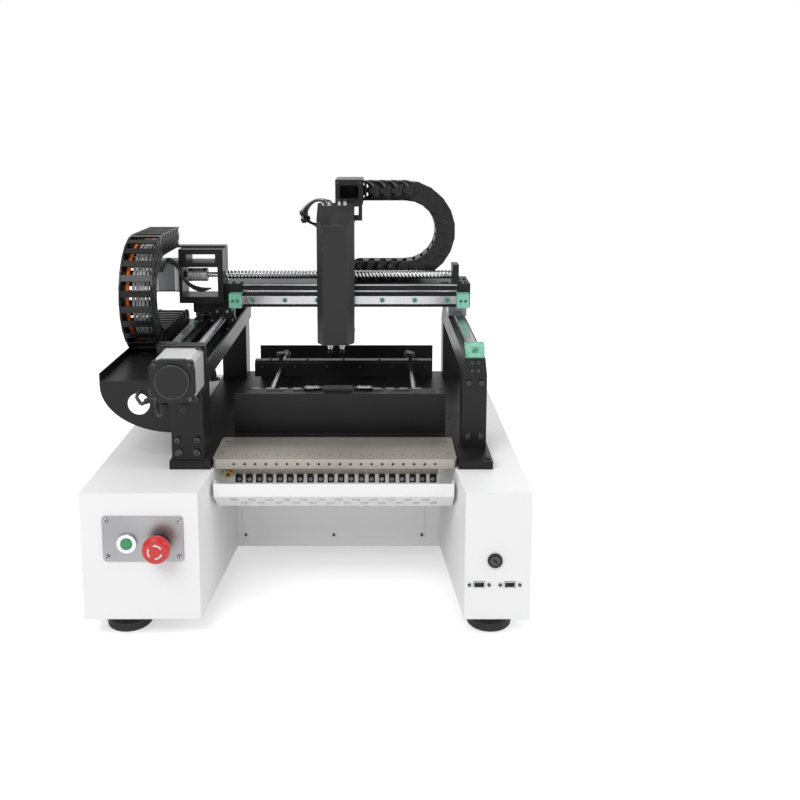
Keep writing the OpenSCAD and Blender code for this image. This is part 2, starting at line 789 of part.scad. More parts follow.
module estop_body() {
    color("#202020") difference() {
        union() {
            rod_y(estop_x, button_z, fy(-panel_t - 5), fy(-panel_t), 29);
            rod_y(estop_x, button_z, fy(-panel_t - over), fy(44), 22);
        }
        rod_y(estop_x, button_z, fy(-panel_t - 5 - over), fy(30), stem_d + 2 * fit);
    }
}

estop_push = 5;
estop_back = -panel_t - 5 - estop_push - 2; // back of the mushroom
module estop_stem() {
    color("dimgray") {
        rod_y(estop_x, button_z, fy(estop_back), fy(20), stem_d);
        rod_y(estop_x, button_z, fy(estop_back - 9), fy(estop_back + over), nose_d);
    }
}

module estop_head() {
    h = estop_out + estop_back;
    r = estop_d / 2;
    color("red") translate([estop_x, fy(estop_back), button_z]) rotate([90, 0, 0]) difference() {
        rotate_extrude() polygon(concat(
            [[0, 0], [r * 0.62, 0], [r * 0.72, 3], [r - 1, 4]],
            [for (a = [0:15:75]) [r - 6 + 6 * cos(a), h - 8 + 8 * sin(a)]],
            [[0, h]]));
        translate([0, 0, -over]) cylinder(h = 9 + fit + over, d = nose_d + 2 * fit);
    }
}

module key_switch_body() {
    color("#333333") difference() {
        union() {
            rod_y(key_x, key_z, fy(-3), fy(0), key_d);
            rod_y(key_x, key_z, fy(-over), fy(30), key_barrel_d + 4);
        }
        rod_y(key_x, key_z, fy(-3 - over), fy(20), key_barrel_d + 2 * fit);
    }
}

module key_barrel() {
    color("gray") difference() {
        rod_y(key_x, key_z, fy(-3.5), fy(16), key_barrel_d);
        translate([key_x, fy(-4), key_z]) rotate([0, 45, 0])
            translate([-4.5, -over, -1]) cube([9, 8 + over, 2]);
    }
}

module usb_ports() {
    w = usb_size[0] / 2;
    h = usb_size[1] / 2;
    for (x = usb_x) {
        color("silver") difference() {
            box([x - w - 1.2, fy(-0.6), usb_z - h - 1.2], [x + w + 1.2, fy(20), usb_z + h + 1.2]);
            box([x - w, fy(-0.6 - over), usb_z - h], [x + w, fy(16), usb_z + h]);
        }
        color("#101010") box([x - w + 1, fy(6), usb_z - 0.2], [x + w - 1, fy(16.5), usb_z + 1.8]);
        // ears behind the sheet, which take the screws
        color("gray") difference() {
            box([x - 19, fy(sheet_t), usb_z - 6], [x + 19, fy(sheet_t + 1.5), usb_z + 6]);
            box([x - w - 1.2, fy(sheet_t - over), usb_z - h - 1.2],
                [x + w + 1.2, fy(sheet_t + 1.5 + over), usb_z + h + 1.2]);
        }
    }
}

module power_inlet() {
    w = inlet[0] / 2;
    h = inlet[1] / 2;
    color("#151515") {
        difference() {
            union() {
                box([inlet_x - w - 2, back_y - inlet[2] - 3, inlet_z - h - 2],
                    [inlet_x + w + 2, back_y + 1, inlet_z + h + 2]);
                box([inlet_x - w - 10, back_y, inlet_z - h - 4],
                    [inlet_x + w + 10, back_y + inlet_out, inlet_z + h + 4]);
            }
            box([inlet_x - w, back_y - inlet[2], inlet_z - h],
                [inlet_x + w, back_y + inlet_out + over, inlet_z + h]);
        }
    }
    color("silver") for (p = [[-7, -3], [0, 3], [7, -3]])
        box([inlet_x + p[0] - 1, back_y - inlet[2], inlet_z + p[1] - 2],
            [inlet_x + p[0] + 1, back_y - 5, inlet_z + p[1] + 2]);
}

module power_supply() {
    x = -base_x + 30;
    color("silver") difference() {
        box([x, fy(230), cover_top], [x + 110, fy(430), cover_top + 50]);
        for (i = [0:7])
            box([x + 10 + i * 12, fy(250), cover_top + 46], [x + 15 + i * 12, fy(400), cover_top + 50 + over]);
    }
}

module control_board() {
    x = feeder_x - 60;
    color("darkgreen") {
        box([x, fy(330), cover_top + 8], [x + 160, fy(480), cover_top + 10]);
        for (dx = [8, 152], d = [338, 472])
            rod_z(x + dx, fy(d), cover_top, cover_top + 8.5, 6);
        box([x + 20, fy(350), cover_top + 9], [x + 60, fy(400), cover_top + 24]);
        box([x + 90, fy(420), cover_top + 9], [x + 145, fy(465), cover_top + 20]);
    }
}

module vacuum_pump() {
    x = base_x - 62;
    color("dimgray") {
        box([x - 26, fy(300), cover_top], [x + 26, fy(410), cover_top + 8]);
        rod_y(x, cover_top + 36, fy(305), fy(370), 58);
        rod_y(x, cover_top + 36, fy(369), fy(405), 40);
        rod_z(x, fy(335), cover_top + 60, cover_top + 76, 9);
    }
}

// ---------- Gantry ----------

module y_screw() {
    color("silver") {
        rod_y(y_screw_x, y_screw_z, fy(y_flange - y_flange_t - 10), fy(y_flange + 8), shaft_d);
        rod_y(y_screw_x, y_screw_z, fy(y_flange + 6), fy(y_bearing[0] - 3), coupling_d);
        rod_y(y_screw_x, y_screw_z, fy(y_bearing[0] - 4), fy(y_rear_bearing[1]), journal_d);
        rod_y(y_screw_x, y_screw_z, fy(y_bearing[1] + free), fy(y_rear_bearing[0] - free), screw_d);
    }
}

module gantry_beam() {
    color("#191919") {
        difference() {
            box([gantry_left, gantry_y, gantry_z], [gantry_right, gantry_y + gantry_d, gantry_top]);
            // grooves along the top and the front
            box([gantry_left + 30, gantry_y - over, gantry_top - 10],
                [gantry_right - 30, gantry_y + 2, gantry_top - 5]);
        }
        // shelf for the chain, behind the beam
        difference() {
            box([gantry_left + 60, gantry_y + gantry_d, gantry_top - 30],
                [gantry_right, x_chain_y + x_chain_w / 2 + 4, gantry_top]);
            box([gantry_left + 60 - over, gantry_y + gantry_d + shelf_t, gantry_top - 30 - over],
                [gantry_right + over, x_chain_y + x_chain_w / 2 + 4 + over, gantry_top - shelf_t]);
        }
        // fixed end of the chain
        box([x_anchor - 25, x_chain_y - x_chain_w / 2 + 8, gantry_top],
            [x_anchor - 12, x_chain_y + x_chain_w / 2 - 8, gantry_top + link_h * 0.7]);
    }
}

module x_rail() {
    color("silver") difference() {
        box([x_stop[0], gantry_y - rail_h, x_rail_z - rail_w / 2], [x_stop[1], gantry_y, x_rail_z + rail_w / 2]);
        for (x = [x_stop[0] + 16 : 60 : x_stop[1] - 10])
            rod_y(x, x_rail_z, gantry_y - rail_h - over, gantry_y - rail_h + 1, 9);
    }
}

// A rail block along Y on a rail whose seat is at z
module block_y(x, y, z) {
    difference() {
        box([x - block_w / 2, y, z + block_lift], [x + block_w / 2, y + block_l, z + block_h]);
        box([x - rail_w / 2 - seat, y - over, z], [x + rail_w / 2 + seat, y + block_l + over, z + rail_h + seat]);
    }
}

module y_carriages() {
    color("#6f7376") for (x = [left_rail_x, right_rail_x]) block_y(x, block_y, rail_seat);
}

module left_carriage() {
    color("#171717") difference() {
        union() {
            box([left_rail_x - block_w / 2 - 1, gantry_y, gantry_z],
                [gantry_left, block_y + block_l, gantry_z + end_plate_h]);
            box([y_screw_x - 21, gantry_y, y_screw_z - 21],
                [y_screw_x + 21, gantry_y + nut_plate_t, gantry_z]);
            box([left_rail_x - block_w / 2 - 1, gantry_y, rail_seat + rail_h + 2],
                [y_screw_x + 21, gantry_y + nut_plate_t, gantry_z]);
        }
        rod_y(y_screw_x, y_screw_z, gantry_y - over, gantry_y + nut_plate_t + over, nut_d);
    }
    // ball nut with its round flange
    color("silver") difference() {
        union() {
            rod_y(y_screw_x, y_screw_z, gantry_y - 10, gantry_y, nut_flange_d);
            rod_y(y_screw_x, y_screw_z, gantry_y - over, gantry_y + 34, nut_d);
        }
        rod_y(y_screw_x, y_screw_z, gantry_y - 10 - over, gantry_y + 34 + over, screw_d + 2 * fit);
        for (a = [0:60:300])
            rod_y(y_screw_x + 19 * cos(a), y_screw_z + 19 * sin(a), gantry_y - 10 - over, gantry_y - 3, 5.5);
    }
}

x_motor_l = 46;
module x_motor() {
    x = x_bracket[0];
    h = motor_w / 2;
    color("#77797b") difference() {
        translate([x - x_motor_l, x_screw_y, x_screw_z]) rotate([90, 0, 90])
            linear_extrude(x_motor_l) polygon(rounded([-h, -h], [h, h], 5, 2));
        rod_x(x_screw_y, x_screw_z, x - 12, x + over, shaft_d + 2 * fit);
    }
}

module x_screw_supports() {
    x0 = x_bracket[0];
    x1 = x_bracket[1];
    lo = gantry_z + end_plate_h;
    hi = y_high_z - link_h / 2 - seat;
    y0 = x_screw_y - motor_h;
    y1 = x_screw_y + motor_h;
    color("#171717") {
        difference() {
            box([x0, y0, lo], [x1, y1, hi - 3]);
            // hollow for the coupling, open to the front and the back
            box([x0 + 6, y0 - over, lo + 12], [x1 - 10, y1 + over, x_screw_z + 18]);
            box([x0 + 14, y0 - over, x_screw_z + 26], [x1 - 14, y1 + over, hi - 12]);
            rod_x(x_screw_y, x_screw_z, x0 - over, x0 + 6 + over, 22);
            rod_x(x_screw_y, x_screw_z, x1 - 10 - over, x1 + over, journal_d + 2 * fit);
        }
        // plate that carries the end of the gantry chain
        box([y_chain_x - y_chain_w / 2, y_anchor - 2, hi - 3], [x1, y_anchor + 24, hi]);
        box([y_chain_x - y_chain_w / 2 + 8, y_anchor + 11, hi],
            [y_chain_x + y_chain_w / 2 - 8, y_anchor + 24, hi + link_h * 0.8]);
        // bearing block at the far end
        difference() {
            box([x_bearing_x, x_screw_y - 18, gantry_top], [x_bearing_x + 12, x_screw_y + 18, x_screw_z + 21]);
            rod_x(x_screw_y, x_screw_z, x_bearing_x - over, x_bearing_x + 12 + over, journal_d + 2 * fit);
        }
    }
}

module x_bumpers() {
    color("mediumseagreen") for (x = [x_stop[0] - x_bumper[0], x_stop[1]])
        difference() {
            box([x, gantry_y - x_bumper[1], x_rail_z - x_bumper[2] / 2],
                [x + x_bumper[0], gantry_y, x_rail_z + x_bumper[2] / 2]);
            for (dx = [7, x_bumper[0] - 7])
                rod_y(x + dx, x_rail_z, gantry_y - x_bumper[1] - over, gantry_y - x_bumper[1] + 6, 6);
        }
}

module x_screw() {
    x0 = x_bracket[0];
    x1 = x_bracket[1];
    color("silver") {
        rod_x(x_screw_y, x_screw_z, x0 - 10, x0 + 14, shaft_d);
        rod_x(x_screw_y, x_screw_z, x0 + 12, x0 + 48, coupling_d - 1);
        rod_x(x_screw_y, x_screw_z, x0 + 47, x_bearing_x + 12, journal_d);
        rod_x(x_screw_y, x_screw_z, x1 + free, x_bearing_x - free, screw_d);
    }
}

// ---------- Head ----------

module head_carriage() {
    color("#2a2a2a") {
        // rail block
        difference() {
            box([head_x - block_l / 2, plate_back, x_rail_z - block_w / 2],
                [head_x + block_l / 2, gantry_y - block_lift, x_rail_z + block_w / 2]);
            box([head_x - block_l / 2 - over, gantry_y - rail_h - seat, x_rail_z - rail_w / 2 - seat],
                [head_x + block_l / 2 + over, gantry_y, x_rail_z + rail_w / 2 + seat]);
        }
        // back plate of the head
        difference() {
            box([head_x - cover_w / 2, plate_front, x_rail_z - block_w / 2 - 8],
                [head_x + cover_w / 2, plate_back, cover_top_z]);
            rod_y(head_x, pulley_z, plate_front - over, plate_back + over, 5);
        }
        // nut housing over the beam
        difference() {
            box([head_x - 20, plate_back - over, gantry_top + free],
                [head_x + 20, x_screw_y + 15, x_screw_z + 15]);
            rod_x(x_screw_y, x_screw_z, head_x - 20 - over, head_x + 20 + over, screw_d + 2 * fit);
        }
    }
}

// Outline of the cover seen from above, with slanted front corners, moved in by t
function cover_outline(t) = [
    [head_x - cover_w / 2 + t, plate_front - (t > 0 ? -over : 0)],
    [head_x - cover_w / 2 + t, plate_front - cover_d + 16],
    [head_x - cover_w / 2 + 11 + t * 0.6, plate_front - cover_d + t],
    [head_x + cover_w / 2 - 11 - t * 0.6, plate_front - cover_d + t],
    [head_x + cover_w / 2 - t, plate_front - cover_d + 16],
    [head_x + cover_w / 2 - t, plate_front - (t > 0 ? -over : 0)]];

// All that lies above the cover's roof, which slopes up from the front to the back plate
module above_roof(t) {
    profile_x([[plate_front - cover_d - over, cover_top_z - roof_h - t],
               [plate_front + 2 * over, cover_top_z - t],
               [plate_front + 2 * over, cover_top_z + roof_h],
               [plate_front - cover_d - over, cover_top_z + roof_h]],
              head_x - cover_w, head_x + cover_w);
}

module head_cover() {
    color("#2e2f30") difference() {
        translate([0, 0, cover_bottom]) linear_extrude(cover_h) polygon(cover_outline(0));
        above_roof(0);
        difference() {
            translate([0, 0, cover_bottom - over])
                linear_extrude(cover_h + over) polygon(cover_outline(cover_wall));
            above_roof(cover_wall);
        }
    }
}

bracket_w = 50;
module x_chain_bracket() {
    x0 = head_x - 2;
    x1 = x0 + bracket_w;
    z0 = x_high_z - link_h / 2 - seat;
    z1 = z0 + 42;
    y0 = plate_back + 4;
    t = 3;
    color("#1b1b1b") {
        // channel that holds the end of the chain
        difference() {
            box([x0, y0, z0 - t], [x1, x_chain_y + x_chain_w / 2 + 4, z1]);
            box([x0 + t, y0 + t, z0], [x1 + over, x_chain_y + x_chain_w / 2 + 4 - t, z1 + over - t - 1]);
            plate_y([x0 + 8, z0 + 8], [x1 - 8, z1 - 10], y0 - over, y0 + t + over, 5);
        }
        // strut down the back of the head plate
        difference() {
            box([head_x + 8, plate_back, cover_top_z - 60], [head_x + 30, y0 + 5, z0 - t]);
            box([head_x + 15, plate_back - over, cover_top_z - 30],
                [head_x + 23, y0 + 5 + over, cover_top_z - 18]);
        }
    }
}

module z_drive() {
    color("#242424")
        plate_y([head_x - z_motor_w / 2, pulley_z - z_motor_w / 2],
                [head_x + z_motor_w / 2, pulley_z + z_motor_w / 2], plate_back, plate_back + 38, 4);
    color("silver") {
        rod_y(head_x, pulley_z, plate_front - 11, plate_back, 5);
        rod_y(head_x, pulley_z, plate_front - 10, plate_front - 2, nozzle_gap - 1.5);
    }
}

// A slide with its hollow-shaft motor, in front of the head plate
module nozzle_slide(x) {
    color("#8a8d90") difference() {
        union() {
            box([x - slide_w / 2, plate_front - 12, cover_bottom + 80],
                [x + slide_w / 2, plate_front - seat, cover_bottom + 112]);
            box([x - slide_w / 2, nozzle_y - slide_w / 2, cover_bottom + 40],
                [x + slide_w / 2, nozzle_y + slide_w / 2, cover_bottom + 78]);
            box([x - slide_w / 2, nozzle_y + slide_w / 2 - 3, cover_bottom + 60],
                [x + slide_w / 2, plate_front - 11, cover_bottom + 90]);
        }
        rod_z(x, nozzle_y, cover_bottom + 40 - over, cover_bottom + 78 + over, spindle_d + 2 * fit);
    }
}

module left_nozzle_slide() {
    nozzle_slide(head_x - nozzle_gap / 2);
}

module right_nozzle_slide() {
    nozzle_slide(head_x + nozzle_gap / 2);
}

// Spindle, holder and nozzle, turned about one axis
module nozzle(x) {
    z0 = nozzle_tip;
    top = cover_bottom + 86;
    r = spindle_d / 2;
    collar = cover_bottom + 36;
    color("silver") translate([x, nozzle_y, 0]) rotate_extrude()
        polygon([[0, z0], [1.2, z0], [1.6, z0 + 8], [5, z0 + 9], [5, z0 + 12], [4, z0 + 13],
                 [4, z0 + 17], [6, z0 + 18], [6, z0 + 34], [4, z0 + 36], [4, collar],
                 [6, collar], [6, collar + 3], [r, collar + 3], [r, top], [0, top]]);
}

module left_nozzle() {
    nozzle(head_x - nozzle_gap / 2);
}

module right_nozzle() {
    nozzle(head_x + nozzle_gap / 2);
}

base_shell();
bottom_cover();
gap_panel();
cover_screws();
foot_pads();
foot_cups();
bed_plate();
feeder_plate();
connector_bar();
feeder_connectors();
tape_tray();
air_fitting();
frame_posts();
side_beams();
y_rails();
rail_bumpers();
y_motor_body();
y_motor_cap();
y_screw_supports();
chain_tray();
y_chain_lower_run();
board_plates();
guide_rods();
fixed_board_rail();
control_plate();
start_bezel();
estop_body();
key_switch_body();
usb_ports();
power_inlet();
power_supply();
control_board();
vacuum_pump();
start_button();
estop_stem();
estop_head();
key_barrel();
moving_board_rail();
y_screw();
gantry_beam();
x_rail();
y_carriages();
left_carriage();
x_motor();
x_screw_supports();
x_bumpers();
x_screw();
y_chain_bend();
y_chain_upper_run();
x_chain_bend();
x_chain_upper_run();
x_chain_lower_run();
head_carriage();
head_cover();
x_chain_bracket();
z_drive();
left_nozzle_slide();
right_nozzle_slide();
left_nozzle();
right_nozzle();
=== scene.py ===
"""The finished look of a desktop pick and place machine, laid out as an add-on.

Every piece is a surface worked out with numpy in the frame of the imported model. Sizes here are in
millimetres, and a piece turns into metres when it is made.
"""

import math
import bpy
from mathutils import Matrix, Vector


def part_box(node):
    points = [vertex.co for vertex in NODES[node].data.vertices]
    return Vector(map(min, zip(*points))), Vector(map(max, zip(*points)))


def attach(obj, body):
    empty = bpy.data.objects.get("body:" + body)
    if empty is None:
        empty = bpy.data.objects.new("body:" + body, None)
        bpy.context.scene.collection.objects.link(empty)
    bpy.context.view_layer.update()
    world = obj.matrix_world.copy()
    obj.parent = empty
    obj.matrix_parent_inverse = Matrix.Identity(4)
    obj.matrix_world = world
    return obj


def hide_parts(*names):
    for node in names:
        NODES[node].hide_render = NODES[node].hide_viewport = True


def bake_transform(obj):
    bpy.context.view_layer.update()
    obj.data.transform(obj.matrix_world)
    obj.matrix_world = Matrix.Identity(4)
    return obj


bl_info = {
    "name": "Desktop pick and place machine",
    "version": (1, 0, 0),
    "blender": (4, 5, 0),
    "location": "View3D > Sidebar > Placer",
    "description": "Builds the pieces and finishes of a desktop pick and place machine round its frame",
    "category": "Object",
}

import bpy
import numpy as np

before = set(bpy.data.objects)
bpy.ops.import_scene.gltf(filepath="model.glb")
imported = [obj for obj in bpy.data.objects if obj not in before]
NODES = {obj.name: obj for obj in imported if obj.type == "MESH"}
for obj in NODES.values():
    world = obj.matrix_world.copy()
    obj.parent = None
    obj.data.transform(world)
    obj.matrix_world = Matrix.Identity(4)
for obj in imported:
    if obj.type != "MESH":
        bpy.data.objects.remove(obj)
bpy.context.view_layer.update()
MM = 0.001
TAU = 2 * math.pi


def lo_hi(node):
    """The lowest and highest corner of a CAD node, in millimetres."""
    lo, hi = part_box(node)
    return np.array(lo) / MM, np.array(hi) / MM


def cad_surface(node):
    """The points, in millimetres, and the triangles of a CAD node, with its loose corners merged."""
    mesh = NODES[node].data
    mesh.calc_loop_triangles()
    points = np.zeros(len(mesh.vertices) * 3, np.float32)
    mesh.vertices.foreach_get("co", points)
    faces = np.zeros(len(mesh.loop_triangles) * 3, np.int32)
    mesh.loop_triangles.foreach_get("vertices", faces)
    points, index = np.unique(np.round(points.reshape(-1, 3) / MM, 3), axis=0, return_inverse=True)
    faces = index.reshape(-1)[faces].reshape(-1, 3)
    whole = (faces[:, 0] != faces[:, 1]) & (faces[:, 1] != faces[:, 2]) & (faces[:, 0] != faces[:, 2])
    return points, faces[whole]


# ---------- Surfaces ----------


def grid_faces(rows, cols, wrap_rows=False, wrap_cols=False):
    """Quads between neighbours of a rows by cols grid of points, counted row by row.

    A wrapped direction also joins its last line of points to its first.
    """
    r = np.arange(rows if wrap_rows else rows - 1)
    c = np.arange(cols if wrap_cols else cols - 1)
    i, j = np.meshgrid(r, c, indexing="ij")
    i2, j2 = (i + 1) % rows, (j + 1) % cols
    return np.stack([i * cols + j, i2 * cols + j, i2 * cols + j2, i * cols + j2], -1).reshape(-1, 4)


class Parts:
    """Points and faces of several surfaces that are gathered into one mesh."""

    def __init__(self):
        self.points, self.faces, self.count = [], [], 0

    def add(self, points, faces):
        """Appends a surface; its faces count from the surface's own first point."""
        points = np.asarray(points, float).reshape(-1, 3)
        for f in faces if isinstance(faces, list) else [faces]:
            f = np.asarray(f, int)
            self.faces.append(f + self.count)
        self.points.append(points)
        self.count += len(points)
        return self

    def place(self, surface, origin, x_axis=(1, 0, 0), z_axis=(0, 0, 1)):
        """Appends a surface turned so that its own X and Z lie along the given axes, then moved to origin."""
        points, faces = surface
        z = np.array(z_axis, float)
        z /= np.linalg.norm(z)
        x = np.array(x_axis, float)
        x -= z * (x @ z)
        x /= np.linalg.norm(x)
        turn = np.stack([x, np.cross(z, x), z])
        return self.add(np.asarray(points).reshape(-1, 3) @ turn + np.array(origin, float), faces)

    def make(self, name, material, body, slot, smooth=True, bevel=0.0, replaces=(), sharp=40):
        """Puts the gathered surfaces into one object on a body, with an optional fine bevel."""
        mesh = bpy.data.meshes.new(name)
        points = np.concatenate(self.points) * MM
        loops = np.concatenate([f.reshape(-1) for f in self.faces])
        sizes = np.concatenate([np.full(len(f), f.shape[1]) for f in self.faces])
        mesh.vertices.add(len(points))
        mesh.vertices.foreach_set("co", points.astype(np.float32).reshape(-1))
        mesh.loops.add(len(loops))
        mesh.loops.foreach_set("vertex_index", loops.astype(np.int32))
        mesh.polygons.add(len(sizes))
        starts = np.concatenate([[0], np.cumsum(sizes)[:-1]])
        mesh.polygons.foreach_set("loop_start", starts.astype(np.int32))
        mesh.update(calc_edges=True)
        mesh.validate()
        piece = bpy.data.objects.new(name, mesh)
        bpy.context.scene.collection.objects.link(piece)
        mesh.materials.append(material)
        if smooth:
            mesh.shade_smooth()
            mesh.set_sharp_from_angle(angle=math.radians(sharp))
        if bevel:
            mod = piece.modifiers.new("edge", "BEVEL")
            mod.width, mod.segments, mod.limit_method = bevel, 2, "ANGLE"
            mod.angle_limit = math.radians(35)
            mod.harden_normals = False
        if isinstance(body, tuple):
            [v * MM for v in body[2]]
            [v * MM for v in body[3]]
            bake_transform(piece)
        else:
            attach(piece, body)
        if replaces:
            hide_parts(*replaces)
        return piece


def turned(profile, steps=32):
    """A surface of revolution round Z: profile is radius and height pairs, closed on the axis at both ends.

    point(u, v) = (r(u) cos v, r(u) sin v, z(u)).
    """
    p = np.array(profile, float)
    v = np.arange(steps) * TAU / steps
    ring = p[(p[:, 0] > 0)]
    x = ring[:, :1] * np.cos(v)
    y = ring[:, :1] * np.sin(v)
    z = np.repeat(ring[:, 1:], steps, 1)
    points = np.stack([x, y, z], -1).reshape(-1, 3)
    faces = grid_faces(len(ring), steps, wrap_cols=True)[:, ::-1]
    caps = []
    if p[0, 0] <= 0:
        caps.append((0, p[0, 1], False))
    if p[-1, 0] <= 0:
        caps.append((len(ring) - 1, p[-1, 1], True))
    tris = []
    for row, height, up in caps:
        points = np.vstack([points, [[0, 0, height]]])
        a = row * steps + np.arange(steps)
        b = row * steps + (np.arange(steps) + 1) % steps
        c = np.full(steps, len(points) - 1)
        tris.append(np.stack([a, b, c] if up else [b, a, c], -1))
    return points, [faces] + tris


def prism(outline, depth):
    """A flat outline in XY, counter-clockwise, carried up Z from 0 to depth, with both ends closed."""
    o = np.array(outline, float)
    n = len(o)
    points = np.concatenate([np.c_[o, np.zeros(n)], np.c_[o, np.full(n, depth)]])
    i = np.arange(n)
    j = (i + 1) % n
    sides = np.stack([i, j, j + n, i + n], -1)
    return points, [sides, i[::-1][None, :], (i + n)[None, :]]


def block(lo, hi):
    """A box between two corners."""
    lo, hi = np.array(lo, float), np.array(hi, float)
    outline = [(lo[0], lo[1]), (hi[0], lo[1]), (hi[0], hi[1]), (lo[0], hi[1])]
    points, faces = prism(outline, hi[2] - lo[2])
    return points + [0, 0, lo[2]], faces


def rounded_outline(w, h, r, steps=6):
    """The outline of a w by h rectangle with corners of radius r, centred on the origin."""
    a = np.linspace(0, math.pi / 2, steps + 1)
    corner = np.stack([np.cos(a), np.sin(a)], -1) * r
    out = []
    for k, (sx, sy) in enumerate([(1, 1), (-1, 1), (-1, -1), (1, -1)]):
        c, s = math.cos(k * math.pi / 2), math.sin(k * math.pi / 2)
        turn = corner @ np.array([[c, s], [-s, c]])
        out.append(turn + [sx * (w / 2 - r), sy * (h / 2 - r)])
    return np.concatenate(out)


def tube(path, radius, sides=12, closed_ends=True):
    """A round section of the given radius carried along a path of points.

    Each ring stands across the path's direction; the rings' frame is carried on without twist.
    """
    p = np.asarray(path, float)
    t = np.gradient(p, axis=0)
    t /= np.linalg.norm(t, axis=1)[:, None]
    ref = np.array([0, 0, 1.0]) if abs(t[0] @ [0, 0, 1]) < 0.9 else np.array([1.0, 0, 0])
    n = np.empty_like(p)
    for k in range(len(p)):
        ref = ref - t[k] * (ref @ t[k])
        ref /= np.linalg.norm(ref)
        n[k] = ref
    b = np.cross(t, n)
    v = np.arange(sides) * TAU / sides
    r = np.broadcast_to(np.asarray(radius, float), (len(p),))
    ring = p[:, None] + r[:, None, None] * (
        n[:, None] * np.cos(v)[None, :, None] + b[:, None] * np.sin(v)[None, :, None]
    )
    faces = [grid_faces(len(p), sides, wrap_cols=True)[:, ::-1]]
    points = ring.reshape(-1, 3)
    if closed_ends:
        i = np.arange(sides)
        faces += [i[::-1][None, :], (i + (len(p) - 1) * sides)[None, :]]
    return points, faces


def smooth_path(points, count=40):
    """A Catmull-Rom curve through the given points, sampled evenly in its parameter."""
    p = np.asarray(points, float)
    p = np.vstack([2 * p[0] - p[1], p, 2 * p[-1] - p[-2]])
    u = np.linspace(0, len(p) - 3 - 1e-9, count)
    k = u.astype(int)
    s = (u - k)[:, None]
    a, b, c, d = p[k], p[k + 1], p[k + 2], p[k + 3]
    return 0.5 * (2 * b + (c - a) * s + (2 * a - 5 * b + 4 * c - d) * s**2 + (3 * b - a - 3 * c + d) * s**3)


def hexagon_radius(across, steps):
    """The radius of a hexagon of that width across its flats, at evenly spaced angles."""
    v = np.arange(steps) * TAU / steps
    return across / 2 / np.cos((v + TAU / 12) % (TAU / 6) - TAU / 12)


def socket_screw(d, h, steps=12):
    """A socket cap screw's head of diameter d and height h on Z = 0, with a hexagon recess.

    Rings of points: foot, shoulder, chamfer, mouth and bottom of the recess; both ends close on the axis.
    """
    v = np.arange(steps) * TAU / steps
    mouth = hexagon_radius(d * 0.52, steps)
    rings = [(d / 2, 0), (d / 2, h * 0.86), (d * 0.45, h), (mouth, h), (mouth, h * 0.45)]
    radius = np.array([np.broadcast_to(r, (steps,)) for r, _ in rings])
    height = np.array([[z] * steps for _, z in rings])
    points = np.stack([radius * np.cos(v), radius * np.sin(v), height], -1).reshape(-1, 3)
    points = np.vstack([points, [[0, 0, 0], [0, 0, h * 0.45]]])
    faces = grid_faces(len(rings), steps, wrap_cols=True)[:, ::-1]
    a = np.arange(steps)
    b = (a + 1) % steps
    last = (len(rings) - 1) * steps
    foot = np.stack([b, a, np.full(steps, len(points) - 2)], -1)
    top = np.stack([a + last, b + last, np.full(steps, len(points) - 1)], -1)
    return points, [faces, foot, top]


# ---------- Places on the frame ----------

SHELL_FRONT = -305.0
RIGHT_POST_FRONT = -155.0
GANTRY_Y = 139.0
CHAIN_PITCH = 21.5
Y_BEND = 25.0
X_BEND = 155.5
USB_X = (247.0, 291.0)
ROD_X = (-80.0, 165.0)
ROD_Z = 284.0
X_THREAD = (-179.0, 239.0)
X_COUPLING = (-250.0, -214.0)
Y_THREAD = (-145.0, 281.0)
Y_COUPLING = (-204.0, -178.0)
BEAM_TOP = 448.0
CHAIN_LINKS_Y = (8, 12, 6)  # in the lower run, the bend and the upper run
CHAIN_LINKS_X = (4, 11, 4)
LID_X = (5.5, 16.5)  # ends of a chain lid, along its link from the hinge
LID_Z = (15.6, 17.8)  # faces of a chain lid, from the middle of its link
LID_INSET = 3.4
CUBE_FACES = np.array([[0, 1, 3, 2], [4, 6, 7, 5], [0, 4, 5, 1], [2, 3, 7, 6], [0, 2, 6, 4], [1, 5, 7, 3]])
FRONT, BACK, UP = (0, -1, 0), (0, 1, 0), (0, 0, 1)


# ---------- Finishes ----------


def link(tree, out, into):
    """Joins an output socket to an input socket."""
    tree.links.new(out, into)
    return out


def maths(tree, kind, a, b=None, clamp=False):
    """A Math node; each input is a number or an output socket."""
    node = tree.nodes.new("ShaderNodeMath")
    node.operation, node.use_clamp = kind, clamp
    for k, v in enumerate((a, b)):
        if isinstance(v, bpy.types.NodeSocket):
            tree.links.new(v, node.inputs[k])
        elif v is not None:
            node.inputs[k].default_value = v
    return node.outputs[0]


def blend_colours(tree, mask, a, b):
    """Colour a where the mask is 0 and colour b where it is 1."""
    node = tree.nodes.new("ShaderNodeMix")
    node.data_type = "RGBA"
    tree.links.new(mask, node.inputs["Factor"])
    for name, v in (("A", a), ("B", b)):
        into = [s for s in node.inputs if s.name == name and s.type == "RGBA"][0]
        if isinstance(v, bpy.types.NodeSocket):
            tree.links.new(v, into)
        else:
            into.default_value = (*v, 1)
    return [s for s in node.outputs if s.type == "RGBA"][0]


def new_group(name, inputs, outputs):
    """An empty shader node group with named float, colour or vector sockets."""
    tree = bpy.data.node_groups.new(name, "ShaderNodeTree")
    for label, kind, value in inputs:
        s = tree.interface.new_socket(label, in_out="INPUT", socket_type=kind)
        if value is not None:
            s.default_value = value
    for label, kind in outputs:
        tree.interface.new_socket(label, in_out="OUTPUT", socket_type=kind)
    return tree, tree.nodes.new("NodeGroupInput"), tree.nodes.new("NodeGroupOutput")


